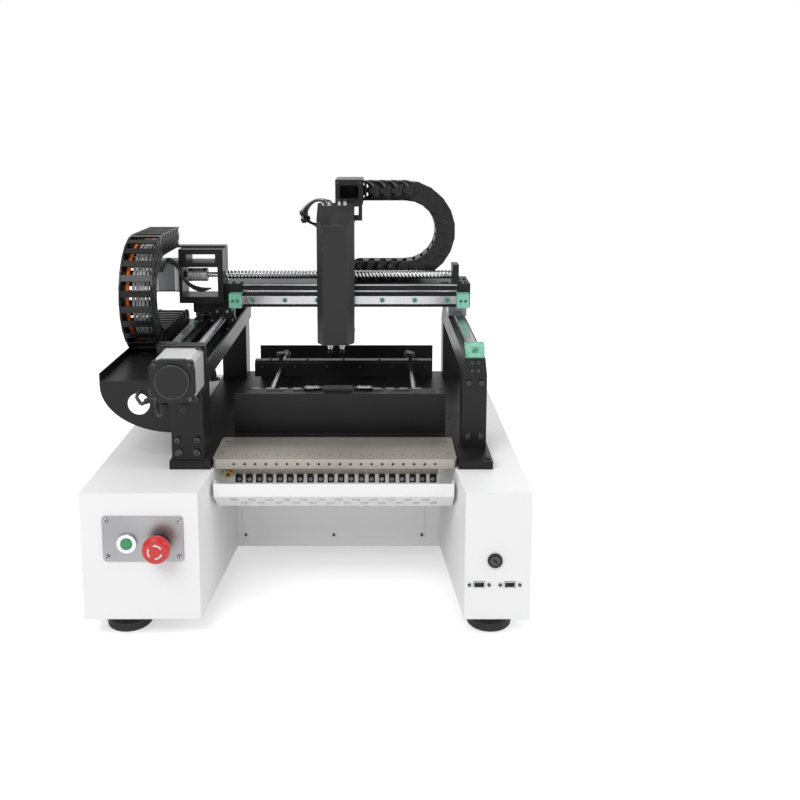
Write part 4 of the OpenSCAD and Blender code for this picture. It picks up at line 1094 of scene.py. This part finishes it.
class PLACER_OT_cable_chains(bpy.types.Operator):
    """Links of both cable chains with their hinge pins, and the cables that they carry.
    """

    bl_idname = "placer.cable_chains"
    bl_label = "Cable chains"

    def execute(self, context):
        pitch = CHAIN_PITCH
        lo, hi = lo_hi("y_chain_bend")
        y_lo, y_hi = lo_hi("y_chain_lower_run")
        u_lo, u_hi = lo_hi("y_chain_upper_run")
        low, high = (y_lo[2] + y_hi[2]) / 2, (u_lo[2] + u_hi[2]) / 2
        end = Y_BEND
        lower, bend, upper = CHAIN_LINKS_Y
        across = (lo[0] + hi[0]) / 2, hi[0] - lo[0]
        radius, middle = (high - low) / 2, (high + low) / 2
        pieces = [
            (
                "side_chain_lower", "y_chain_lower_run",
                [(0, end + pitch * k, low) for k in range(1, lower + 1)],
                ("base", "y_chain_bend", (0, end + lower * pitch, low), (0, end + 4, low))
            ),
            (
                "side_chain_upper", "y_chain_upper_run",
                [(0, end + pitch * k, high) for k in range(upper)],
                ("y_chain_bend", "y_chain_end", (0, end + 4, high), (0, end + upper * pitch, high))
            ),
        ]
        for name, node, hinges, body in pieces:
            parts = Parts().add(*cad_surface(node))
            way = (0, -1, 0) if name == "side_chain_lower" else (0, 1, 0)
            chain_details(parts, hinges, [way] * len(hinges), *across, 0)
            parts.make(name, chain_plastic(), body, "chain_plastic", smooth=False, replaces=[node])
        bosses = Parts()
        a = -math.pi / 2 + math.pi * np.arange(bend) / bend
        b = a + math.pi / bend / 2
        chain_details(
            bosses, [(0, end - radius * math.cos(t), middle + radius * math.sin(t)) for t in a],
            [(0, math.sin(t), math.cos(t)) for t in b], *across, 0
        )
        bosses.make("side_chain_pins", chain_plastic(), "y_chain_bend", "chain_plastic")
        x0 = (lo[0] + hi[0]) / 2
        cables = [
            ("orange", cable_orange(), [-17.5], 3.4),
            ("grey", grey_sheath_and_hose_highlight(), [-7.2, -1.6, 4.0, 9.6, 15.2], 2.5)
        ]
        for tint, material, offsets, r in cables:
            run, turn, top = Parts(), Parts(), Parts()
            for k, dx in enumerate(offsets):
                sink = 2.0 * math.sin(k * 1.9)
                x = x0 + dx
                run.add(
                    *tube(
                        [(x, y, low + sink) for y in np.linspace(end + lower * pitch + 6, end, 12)], r,
                        10
                    )
                )
                turn.add(*tube(arc_path((x, end, middle), radius - sink, ((0, -1, 0), (0, 0, 1))), r, 10))
                top.add(
                    *tube(
                        [(x, y, high - sink) for y in np.linspace(end, end + upper * pitch + 6, 10)], r,
                        10
                    )
                )
            run.make(f"side_chain_{tint}_cable_lower", material, pieces[0][3], "chain_plastic")
            turn.make(f"side_chain_{tint}_cable_bend", material, "y_chain_bend", "chain_plastic")
            top.make(f"side_chain_{tint}_cable_upper", material, pieces[1][3], "chain_plastic")

        lo, hi = lo_hi("x_chain_bend")
        y_lo, y_hi = lo_hi("x_chain_lower_run")
        u_lo, u_hi = lo_hi("x_chain_upper_run")
        low, high = (y_lo[2] + y_hi[2]) / 2, (u_lo[2] + u_hi[2]) / 2
        end = X_BEND
        lower, bend, upper = CHAIN_LINKS_X
        across = (lo[1] + hi[1]) / 2, hi[1] - lo[1]
        radius, middle = (high - low) / 2, (high + low) / 2
        pieces = [
            (
                "gantry_chain_lower", "x_chain_lower_run",
                [(end - pitch * k, 0, low) for k in range(1, lower + 1)],
                ("gantry", "x_chain_bend", (end - lower * pitch, 0, low), (end - 2, 0, low))
            ),
            (
                "gantry_chain_upper", "x_chain_upper_run",
                [(end - pitch * k, 0, high) for k in range(upper)],
                ("x_chain_bend", "x_chain_end", (end - 2, 0, high), (end - upper * pitch, 0, high))
            ),
        ]
        for name, node, hinges, body in pieces:
            parts = Parts().add(*cad_surface(node))
            way = (1, 0, 0) if name == "gantry_chain_lower" else (-1, 0, 0)
            chain_details(parts, hinges, [way] * len(hinges), *across, 1)
            parts.make(name, chain_plastic(), body, "chain_plastic", smooth=False, replaces=[node])
        bosses = Parts()
        a = -math.pi / 2 + math.pi * np.arange(bend) / bend
        b = a + math.pi / bend / 2
        chain_details(
            bosses, [(end + radius * math.cos(t), 0, middle + radius * math.sin(t)) for t in a],
            [(-math.sin(t), 0, math.cos(t)) for t in b], *across, 1
        )
        bosses.make("gantry_chain_pins", chain_plastic(), "x_chain_bend", "chain_plastic")
        y0 = (lo[1] + hi[1]) / 2
        run, turn, top = Parts(), Parts(), Parts()
        for k, dy in enumerate((-16, -9.5, -3, 3.5, 10, 16)):
            sink = 1.6 * math.sin(k * 2.3)
            y = y0 + dy
            run.add(
                *tube(
                    [(x, y, low + sink) for x in np.linspace(end - lower * pitch - 6, end, 8)], 2.7, 10
                )
            )
            turn.add(*tube(arc_path((end, y, middle), radius - sink, ((1, 0, 0), (0, 0, 1))), 2.7, 10))
            top.add(
                *tube(
                    [(x, y, high - sink) for x in np.linspace(end, end - upper * pitch - 6, 8)], 2.7, 10
                )
            )
        run.make("gantry_chain_cables_lower", cable_black(), pieces[0][3], "chain_plastic")
        turn.make("gantry_chain_cables_bend", cable_black(), "x_chain_bend", "chain_plastic")
        top.make("gantry_chain_cables_upper", cable_black(), pieces[1][3], "chain_plastic")
        return {"FINISHED"}


# ---------- Head ----------


class PLACER_OT_head_details(bpy.types.Operator):
    """Air hoses and fittings on the head, its small bracket and the two nozzles."""

    bl_idname = "placer.head_details"
    bl_label = "Head details"

    def execute(self, context):
        lo, hi = lo_hi("head_cover")
        left, top = lo[0], hi[2]
        hoses, pale = Parts(), Parts()
        for k in range(5):
            dy = 4.4 * k
            bulge = 4 * math.sin(1.7 * k)
            path = smooth_path(
                [
                    (left + 16 + 3 * k, 64 + dy, top - 1), (left + 13 + 2 * k, 64 + dy, top + 7),
                    (left - 2, 66 + dy, top + 8 + bulge * 0.3), (left - 19 - bulge, 72 + dy, top - 6),
                    (left - 22 - bulge, 84 + dy * 0.7, top - 22), (left - 12, 100 + dy * 0.5, top - 34),
                    (left + 4, 117, top - 38 - 2 * k)
                ],
                44
            )
            # Hoses 1 and 3 are the same black hoses drawn pale grey: painted highlight on the hose bundle.
            (pale if k in (1, 3) else hoses).add(*tube(path, 2.2, 10))
        hoses.make("head_air_hoses", cable_black(), "head", "black_plastic")
        pale.make("head_hoses_painted_highlight", grey_sheath_and_hose_highlight(), "head", "black_plastic")
        clamp = Parts()
        clamp.place(
            turned([(0, 0), (6.2, 0), (7, 0.8), (7, 6.2), (6.2, 7), (0, 7)], 20),
            (left - 24, 75, top - 10), (0, 1, 0), (0.2, 0.35, -1)
        )
        clamp.place(
            turned([(0, 0), (8.4, 0), (9, 0.8), (9, 4.6), (8.4, 5.4), (0, 5.4)], 20),
            (left - 22, 90, top - 24), (0, 1, 0), (0.5, 0.5, -1)
        )
        clamp.make("head_hose_clamps", black_plastic(), "head", "black_plastic")
        fittings, collars = Parts(), Parts()
        for x, y in ((left + 13, 66), (left + 22, 66), (left + 40, 70), (left + 50, 70)):
            fittings.place(
                turned([(0, 0), (3.6, 0), (3.6, 4), (2.8, 4.8), (2.8, 7), (0, 7)], 18), (x, y, top)
            )
            collars.place(turned([(0, 0), (3.1, 0), (3.1, 2.2), (2.2, 3), (0, 3)], 18), (x, y, top + 6.8))
        fittings.make("head_fittings", zinc_steel(), "head", "rail_steel")
        collars.make("head_fitting_collars", black_plastic(), "head", "black_plastic")

        side = Parts()
        x0, x1, y0, y1 = hi[0], hi[0] + 14, 101, 105
        for a, b in (
            ((x0, y0, top - 30), (x1, y1, top - 20)), ((x0, y0, top - 5), (x1, y1, top + 6)),
            ((x0 + 7.5, y0, top - 20), (x1, y1, top - 5))
        ):
            side.add(*block(a, b))
        side.make("head_side_bracket", anodised_black(), "head", "black_anodised", smooth=False, bevel=0.0004)

        for name in ("left", "right"):
            node = body = f"{name}_nozzle"
            n_lo, n_hi = lo_hi(node)
            x, y, z = (n_lo[0] + n_hi[0]) / 2, (n_lo[1] + n_hi[1]) / 2, n_lo[2]
            cover = lo[2]
            holder = Parts()
            holder.place(
                turned(
                    [
                        (0, z + 16), (3.6, z + 16), (4.4, z + 16.8), (4.4, z + 20), (5.9, z + 21),
                        (5.9, z + 23), (5.4, z + 23.4), (5.4, z + 25), (5.9, z + 25.4), (5.9, z + 28),
                        (5.4, z + 28.4), (5.4, z + 30), (5.9, z + 30.4), (5.9, cover + 2),
                        (4, cover + 3), (4, cover + 36), (6, cover + 36), (6, cover + 39),
                        (2.5, cover + 39), (2.5, cover + 86), (0, cover + 86)
                    ],
                    28
                ),
                (x, y, 0)
            )
            holder.make(f"{name}_nozzle_holder", ground_steel(), body, "rail_steel", replaces=[node])
            tip = Parts()
            tip.place(
                turned(
                    [
                        (0, z), (0.9, z), (1.2, z + 0.4), (1.6, z + 7), (2.4, z + 8.4), (4.6, z + 8.8),
                        (5, z + 9.2), (5, z + 11.6), (4.6, z + 12), (3.4, z + 12.4), (3.4, z + 16.5),
                        (0, z + 16.5)
                    ],
                    28
                ),
                (x, y, 0)
            )
            tip.make(f"{name}_nozzle_tip", black_plastic(), body, "black_plastic")
        return {"FINISHED"}


# ---------- Motors and carriage ----------


class PLACER_OT_motor_details(bpy.types.Operator):
    """Cap ring, corner screws, cable sockets and leads of the motors."""

    bl_idname = "placer.motor_details"
    bl_label = "Motor details"

    def execute(self, context):
        lo, hi = lo_hi("y_motor_cap")
        x, z = (lo[0] + hi[0]) / 2, (lo[2] + hi[2]) / 2
        half, cut = (hi[0] - lo[0]) / 2, 13.0
        octagon = [
            (half, -half + cut), (half, half - cut), (half - cut, half), (cut - half, half),
            (-half, half - cut), (-half, cut - half), (cut - half, -half), (half - cut, -half)
        ]
        shell = Parts()
        shell.place(prism(octagon, hi[1] - lo[1] - 4), (x, hi[1], z), z_axis=FRONT)
        for sx in (-1, 1):
            for sz in (-1, 1):
                shell.place(
                    turned([(0, 0), (5.4, 0), (5.4, 9), (4.8, 9.6), (0, 9.6)], 20),
                    (x + sx * (half - 6.5), hi[1], z + sz * (half - 6.5)), z_axis=FRONT
                )
        shell.place(
            turned([(0, 0), (23.6, 0), (23.6, 3.2), (22.8, 4), (0, 4)], 56), (x, lo[1] + 4, z),
            z_axis=FRONT
        )
        shell.make(
            "side_motor_cap", black_plastic(), "base", "black_plastic", replaces=["y_motor_cap"],
            bevel=0.0006
        )
        ring = Parts()
        ring.place(
            turned(
                [
                    (22.4, 0.2), (23.4, -0.2), (24.6, 0.3), (24.9, 1.8), (24.2, 3), (22.6, 3),
                    (22.4, 0.2)
                ],
                56
            ),
            (x, lo[1] + 3.4, z), z_axis=FRONT
        )
        ring.make("side_motor_ring", screw_steel(), "base", "black_plastic")
        corner = (hi[0] - lo[0]) / 2 - 6.5
        bolts = Parts()
        screw_rows(
            bolts,
            [(x + sx * corner, hi[1] - 9.4, z + sz * corner) for sx in (-1, 1) for sz in (-1, 1)],
            FRONT, 6, 2.4
        )
        body_hi = lo_hi("y_motor_body")[1]
        screw_rows(bolts, [(x + 24.5, body_hi[1] - 9, body_hi[2])], UP, 8, 2.5)
        bolts.make("side_motor_screws", screw_steel(), "base", "screw_steel")
        plugs = Parts()
        for dx, dz in ((-26, -25), (-12, -33), (16, -33)):
            place = (x + dx, lo[1] + 8, z + dz)
            plugs.place(
                turned([(0, 0), (4.8, 0), (5.2, 0.6), (5.2, 8), (4.2, 9), (4.2, 14), (0, 14)], 20),
                place, (0, 1, 0), (-0.25, 0, -1) if dx > -20 else (-1, 0, -0.35)
            )
        plugs.make("side_motor_plugs", black_plastic(), "base", "black_plastic")
        leads = Parts()
        for k, (dx, dz) in enumerate(((-39, -30), (-16, -46))):
            p = np.array((x + dx, lo[1] + 8, z + dz))
            leads.add(
                *tube(
                    smooth_path(
                        [
                            p, p + (-6, 3, -4), p + (-12, 12 + 4 * k, -3 + 12 * k),
                            p + (-20 + 2 * k, 30, -1 + 14 * k), p + (-22 - 10 * k, 60, -1 + 17 * k)
                        ],
                        30
                    ),
                    2.6, 10
                )
            )
        leads.make("side_motor_leads", cable_black(), "base", "black_plastic")

        lo, hi = lo_hi("x_motor")
        y, z = (lo[1] + hi[1]) / 2, (lo[2] + hi[2]) / 2
        caps = Parts()
        outline = rounded_outline(hi[1] - lo[1] + 0.8, hi[2] - lo[2] + 0.8, 6)
        for a, b in ((lo[0] - 0.3, lo[0] + 8), (hi[0] - 8, hi[0])):
            caps.place(prism(outline, b - a), (a, y, z), (0, 1, 0), (1, 0, 0))
        caps.make("gantry_motor_end_caps", motor_silver(), "gantry", "motor_grey", smooth=False, bevel=0.0005)
        lead = Parts()
        for k in range(3):
            d = 3.6 * k
            lead.add(
                *tube(
                    smooth_path(
                        [
                            (-300 + d, lo[1] - 0.5, 473), (-298 + d, lo[1] - 7, 482),
                            (-284 + d, lo[1] - 9 - d, 492 + d), (-266 + d, lo[1] - 8, 484),
                            (-254, lo[1] - 6 + d, 466 - d), (-240, lo[1] - 4 + d, 450 - d),
                            (-222, lo[1] - 3 + d, 443 - d), (-205, lo[1] + d, 441)
                        ],
                        40
                    ),
                    1.7, 8
                )
            )
        lead.make("gantry_motor_leads", cable_black(), "gantry", "black_plastic")
        return {"FINISHED"}


# ---------- Board holder ----------


class PLACER_OT_board_holder(bpy.types.Operator):
    """Slotted strips, spring clips and clamping screws of the board holder, and collars of its rods."""

    bl_idname = "placer.board_holder"
    bl_label = "Board holder"

    def execute(self, context):
        lo, hi = lo_hi("moving_board_rail")
        knobs = Parts()
        screw_rows(
            knobs,
            [(x, lo[1], (lo[2] + hi[2]) / 2 + 4) for x in np.linspace(lo[0] + 14, hi[0] - 14, 6)],
            FRONT, 5, 2
        )
        screw_rows(
            knobs, [(x, (lo[1] + hi[1]) / 2, hi[2]) for x in np.linspace(lo[0] + 30, hi[0] - 30, 5)],
            UP, 5.5, 2.4
        )
        knobs.make("moving_rail_screws", screw_steel(), "board_rail", "screw_steel")
        grip = Parts()
        for x in ROD_X:
            grip.place(
                turned([(0, 0), (4, 0), (4, 6), (7.5, 7), (8, 8), (8, 14), (7.5, 15), (0, 15)], 24),
                (x, (lo[1] + hi[1]) / 2, hi[2] - 1)
            )
        grip.make("moving_rail_knobs", black_plastic(), "board_rail", "black_plastic")
        hi = lo_hi("board_plates")[1]
        collars = Parts()
        for x in ROD_X:
            collars.place(
                turned([(5.1, 0), (9, 0), (9, 7.4), (8.4, 8), (5.1, 8), (5.1, 0)], 28),
                (x, hi[1] - 22, ROD_Z), z_axis=FRONT
            )
        collars.make("rod_collars", zinc_steel(), "base", "rail_steel")
        lo, hi = lo_hi("fixed_board_rail")
        strips, clips = Parts(), Parts()
        for x in np.arange(lo[0] + 6, hi[0] - 20, 22.0):
            if abs(x + 8 - 37) > 46:
                strips.place(prism(rounded_outline(15, 4.4, 2.1), 1.1), (x + 8, lo[1] + 6, hi[2]))
        strips.make("fixed_rail_strips", block_steel(), "base", "block_steel", bevel=0.0002)
        for x in (-6, 80):
            clips.place(prism(rounded_outline(24, 9, 1.5), 1.2), (x, lo[1] + 13, hi[2]))
            screw_rows(
                clips, [(x - 7, lo[1] + 13, hi[2] + 1.2), (x + 7, lo[1] + 13, hi[2] + 1.2)], UP, 4.4,
                1.6
            )
        clips.make("fixed_rail_clips", zinc_steel(), "base", "rail_steel", bevel=0.0002)
        return {"FINISHED"}


class PLACER_OT_stop_blocks(bpy.types.Operator):
    """The stop blocks of the side rails: clear green on the right, black on the left."""

    bl_idname = "placer.stop_blocks"
    bl_label = "Stop blocks"

    def execute(self, context):
        points, faces = cad_surface("rail_bumpers")
        right = points[faces].mean(1)[:, 0] > 0
        for name, mask, material, slot_name in (
            ("right_stop_block", right, green_urethane, "green_rubber"),
            ("left_stop_block", ~right, black_plastic, "black_plastic")
        ):
            used, index = np.unique(faces[mask], return_inverse=True)
            block_parts = Parts().add(points[used], index.reshape(-1, 3))
            block_parts.make(name, material(), "base", slot_name, smooth=False, replaces=["rail_bumpers"])
        ribs = Parts()
        for z in (BEAM_TOP - 15.5, BEAM_TOP - 4):
            ribs.add(*block((-147.5, GANTRY_Y - 1.0, z), (250, GANTRY_Y + 0.2, z + 3)))
        ribs.make("gantry_beam_strips", zinc_steel(), "gantry", "rail_steel", smooth=False, bevel=0.0003)
        return {"FINISHED"}


# ---------- Controls and sockets ----------


class PLACER_OT_controls(bpy.types.Operator):
    """Arrows on the emergency stop, the start button's dome and the key switch's ring."""

    bl_idname = "placer.controls"
    bl_label = "Controls"

    def execute(self, context):
        lo, hi = lo_hi("estop_head")
        x, z, front = (lo[0] + hi[0]) / 2, (lo[2] + hi[2]) / 2, lo[1]
        arrows = Parts()
        for k in range(3):
            a = np.linspace(0, math.radians(78), 14) + k * TAU / 3 + 0.5
            ring = np.stack([np.cos(a), np.sin(a)], -1)
            width = np.interp(np.arange(14), [0, 9, 9.01, 13], [1.1, 1.1, 2.6, 0.05])[:, None]
            outline = np.concatenate([ring * (9.6 - width), (ring * (9.6 + width))[::-1]])[::-1]
            arrows.place(prism(outline, 0.5), (x, front + 0.35, z), z_axis=FRONT)
        arrows.make("stop_arrows", white_ink(), "estop_head", "red_plastic", smooth=False)
        lo, hi = lo_hi("start_button")
        x, z, front = (lo[0] + hi[0]) / 2, (lo[2] + hi[2]) / 2, lo[1]
        r = (hi[0] - lo[0]) / 2
        dome = Parts()
        u = np.linspace(0, 1, 8)
        dome.place(
            turned(
                [(0, -1), (r - 0.4, -1)] + [
                    (
                        max((r - 0.4) * math.cos(t * math.pi / 2), 0 if t == 1 else 0.02),
                        1.2 * math.sin(t * math.pi / 2)
                    )
                    for t in u
                ],
                36
            ),
            (x, front, z), z_axis=FRONT
        )
        dome.make("start_dome", green_lens(), "start_button", "green_lens")
        lo, hi = lo_hi("key_barrel")
        x, z, front = (lo[0] + hi[0]) / 2, (lo[2] + hi[2]) / 2, lo[1]
        r = (hi[0] - lo[0]) / 2
        ring = Parts()
        ring.place(
            turned(
                [
                    (r + 0.3, 0), (r + 3.4, 0), (r + 3.8, 0.6), (r + 3.4, 2.2), (r + 0.8, 2.6),
                    (r + 0.3, 2.2), (r + 0.3, 0)
                ],
                48
            ),
            (x, SHELL_FRONT + 0.05, z), z_axis=FRONT
        )
        ring.make("key_ring", screw_steel(), "base", "screw_steel")
        return {"FINISHED"}


# ---------- Feeder connectors ----------


class PLACER_OT_connector_faces(bpy.types.Operator):
    """Chamfered silver faces with contact rings in the row of feeder connectors."""

    bl_idname = "placer.connector_faces"
    bl_label = "Connector faces"

    def execute(self, context):
        lo, hi = lo_hi("feeder_connectors")
        z = (lo[2] + hi[2]) / 2
        count = 20
        face = turned(
            [
                (0, -0.5), (3.1, -0.5), (3.1, 0.2), (2.7, 0.6), (1.9, 0.6), (1.7, 0.1), (1.2, 0.1),
                (1.0, 0.5), (0, 0.5)
            ],
            18
        )
        faces = Parts()
        for x in np.linspace(lo[0] + 6, hi[0] - 6, count):
            faces.place(face, (x, lo[1] + 0.2, z), z_axis=FRONT)
        faces.make("connector_faces", zinc_steel(), "base", "rail_steel")
        return {"FINISHED"}


# ---------- Base ----------


class PLACER_OT_base_details(bpy.types.Operator):
    """Cable grommet on top, louvres in the back and rings on the feet."""

    bl_idname = "placer.base_details"
    bl_label = "Base details"

    def execute(self, context):
        lo, hi = lo_hi("base_shell")
        grommet = Parts()
        grommet.place(
            turned(
                [
                    (0, 0), (13.6, 0), (14, 0.6), (13.4, 2.6), (9.5, 3.2), (8.8, 2.2), (8.6, 0.4),
                    (0, 0.4)
                ],
                40
            ),
            (-235, 295, hi[2])
        )
        grommet.make("cable_grommet", foot_rubber(), "base", "foot_rubber")
        lead = Parts()
        for k, dx in enumerate((-4, 0, 4)):
            p = np.array((-235.0 + dx, 295 + 2 * math.sin(k * 2), hi[2]))
            lead.add(
                *tube(
                    smooth_path(
                        [
                            p, p + (-1, 1, 18), p + (-14, -2 - k, 48), p + (-22, -8 - 3 * k, 78),
                            p + (-24, -30 - 3 * k, 108), p + (-30, -60, 128)
                        ],
                        30
                    ),
                    2.6, 10
                )
            )
        lead.make("chain_supply_cables", cable_black(), "base", "black_plastic")
        louvres = Parts()
        a = np.linspace(0, math.pi, 9)
        section = np.stack([-2.2 * np.sin(a) ** 0.8, 4.0 * np.cos(a)], -1)
        x = np.linspace(-34, 34, 15)
        fade = np.clip((34 - np.abs(x)) / 5, 0, 1) ** 0.5
        for row in range(7):
            for side in (-1, 1):
                centre = np.array((side * 95.0, hi[1], lo[2] + 58 + row * 13))
                u = np.stack(
                    [
                        np.repeat(x[:, None], 9, 1), -section[None, :, 0] * fade[:, None],
                        section[None, :, 1] * (0.3 + 0.7 * fade[:, None])
                    ],
                    -1
                )
                points = u.reshape(-1, 3) + centre
                louvres.add(points, grid_faces(15, 9)[:, ::-1])
        louvres.make("back_louvres", powder_white(), "base", "white_paint")
        foot_lo = lo_hi("foot_pads")[0]
        rings = Parts()
        for x in (-268, 268):
            for y in (-253, 283):
                rings.place(
                    turned(
                        [
                            (32.6, 0), (33.1, 0.8), (33.1, 3), (32.6, 3.8), (32.0, 3.0), (32.0, 0.8),
                            (32.6, 0)
                        ],
                        48
                    ),
                    (x, y, foot_lo[2] + 4)
                )
        rings.make("foot_ribs", foot_rubber(), "base", "foot_rubber")
        return {"FINISHED"}


# ---------- Stage ----------


class PLACER_PG_stage(bpy.types.PropertyGroup):
    """Sizes and colours of the stage."""

    floor_colour: bpy.props.FloatVectorProperty(
        name="Floor colour", description="Colour of the floor", subtype="COLOR", size=3, min=0, max=1,
        default=(0.8, 0.8, 0.8)
    )
    sky_level: bpy.props.FloatProperty(
        name="Sky level", description="Strength of the even light from all round", default=0.62, min=0,
        max=2
    )
    key_power: bpy.props.FloatProperty(
        name="Key power", description="Power of the large lamp in front", default=40, min=0, max=500,
        unit="POWER"
    )


class PLACER_OT_stage(bpy.types.Operator):
    """Pale floor, soft light and the camera."""

    bl_idname = "placer.stage"
    bl_label = "Stage"

    def execute(self, context):
        size = context.scene.placer_stage
        scene = context.scene
        mesh = bpy.data.meshes.new("floor")
        mesh.from_pydata([(-30, -30, 0), (30, -30, 0), (30, 60, 0), (-30, 60, 0)], [], [(0, 1, 2, 3)])
        floor = bpy.data.objects.new("floor", mesh)
        scene.collection.objects.link(floor)
        mat = bpy.data.materials.new("pale floor")
        mat.use_nodes = True
        tree = mat.node_tree
        shader = tree.nodes["Principled BSDF"]
        shader.inputs["Base Color"].default_value = (*size.floor_colour, 1)
        shader.inputs["Roughness"].default_value = 0.6
        shader.inputs["Specular IOR Level"].default_value = 0.2
        rays = tree.nodes.new("ShaderNodeLightPath")
        seen = maths(tree, "MAXIMUM", rays.outputs["Is Camera Ray"], rays.outputs["Is Glossy Ray"])
        seen = maths(tree, "MAXIMUM", seen, rays.outputs["Is Transmission Ray"])
        shader.inputs["Emission Color"].default_value = (1, 1, 1, 1)
        link(tree, maths(tree, "MULTIPLY", seen, 0.5), shader.inputs["Emission Strength"])
        mesh.materials.append(mat)

        world = bpy.data.worlds.new("studio")
        scene.world = world
        world.use_nodes = True
        tree = world.node_tree
        sky = tree.nodes["Background"]
        sky.inputs["Color"].default_value = (1, 1, 1, 1)
        rays = tree.nodes.new("ShaderNodeLightPath")
        seen = maths(tree, "MAXIMUM", rays.outputs["Is Camera Ray"], rays.outputs["Is Transmission Ray"])
        level = maths(tree, "ADD", maths(tree, "MULTIPLY", seen, 1 - size.sky_level), size.sky_level)
        link(tree, level, sky.inputs["Strength"])

        def lamp(name, place, aim, power, width, depth):
            data = bpy.data.lights.new(name, "AREA")
            data.shape, data.size, data.size_y, data.energy = "RECTANGLE", width, depth, power
            unit = bpy.data.objects.new(name, data)
            unit.location = place
            d = np.array(aim, float) - np.array(place, float)
            unit.rotation_euler = (math.acos(-d[2] / np.linalg.norm(d)), 0, math.atan2(-d[0], d[1]))
            unit.visible_camera = False
            scene.collection.objects.link(unit)

        lamp("key lamp", (-0.9, -2.0, 2.3), (0, 0, 0.25), size.key_power, 1.6, 1.2)
        lamp("side lamp", (2.2, -0.6, 1.5), (0, 0, 0.3), size.key_power * 0.35, 1.0, 1.4)
        lamp("back lamp", (0.2, 2.2, 2.0), (0, 0, 0.3), size.key_power * 0.4, 2.0, 1.0)

        camera = bpy.data.cameras.new("camera")
        camera.sensor_width, camera.lens = 36, 40.9
        camera.shift_x, camera.shift_y = 0.031, -0.165
        eye = bpy.data.objects.new("camera", camera)
        eye.location = (0.0983, -1.525, 0.723)
        eye.rotation_euler = (math.radians(90 - 8.4), 0, 0)
        scene.collection.objects.link(eye)
        scene.camera = eye
        scene.view_settings.view_transform = "Standard"
        return {"FINISHED"}


class PLACER_PT_sidebar(bpy.types.Panel):
    """Lists the settings and the operators."""

    bl_label = "Placer"
    bl_idname = "PLACER_PT_sidebar"
    bl_space_type = "VIEW_3D"
    bl_region_type = "UI"
    bl_category = "Placer"

    def draw(self, context):
        for group in SETTINGS:
            box = self.layout.box()
            settings = getattr(context.scene, group)
            for name in settings.__annotations__:
                box.prop(settings, name)
        for operator in OPERATORS:
            self.layout.operator(operator.bl_idname)


OPERATORS = [
    PLACER_OT_frame_finishes,
    PLACER_OT_fasteners,
    PLACER_OT_rail_caps,
    PLACER_OT_ball_screws,
    PLACER_OT_cable_chains,
    PLACER_OT_head_details,
    PLACER_OT_motor_details,
    PLACER_OT_board_holder,
    PLACER_OT_stop_blocks,
    PLACER_OT_controls,
    PLACER_OT_connector_faces,
    PLACER_OT_base_details,
    PLACER_OT_stage,
]
SETTINGS = {"placer_stage": PLACER_PG_stage}
CLASSES = [*SETTINGS.values(), *OPERATORS, PLACER_PT_sidebar]


def register():
    for c in CLASSES:
        bpy.utils.register_class(c)
    for name, kind in SETTINGS.items():
        setattr(bpy.types.Scene, name, bpy.props.PointerProperty(type=kind))


def unregister():
    for name in SETTINGS:
        delattr(bpy.types.Scene, name)
    for c in reversed(CLASSES):
        bpy.utils.unregister_class(c)


def main():
    register()
    for operator in OPERATORS:
        group, name = operator.bl_idname.split(".")
        getattr(getattr(bpy.ops, group), name)()


if __name__ == "__main__":
    main()
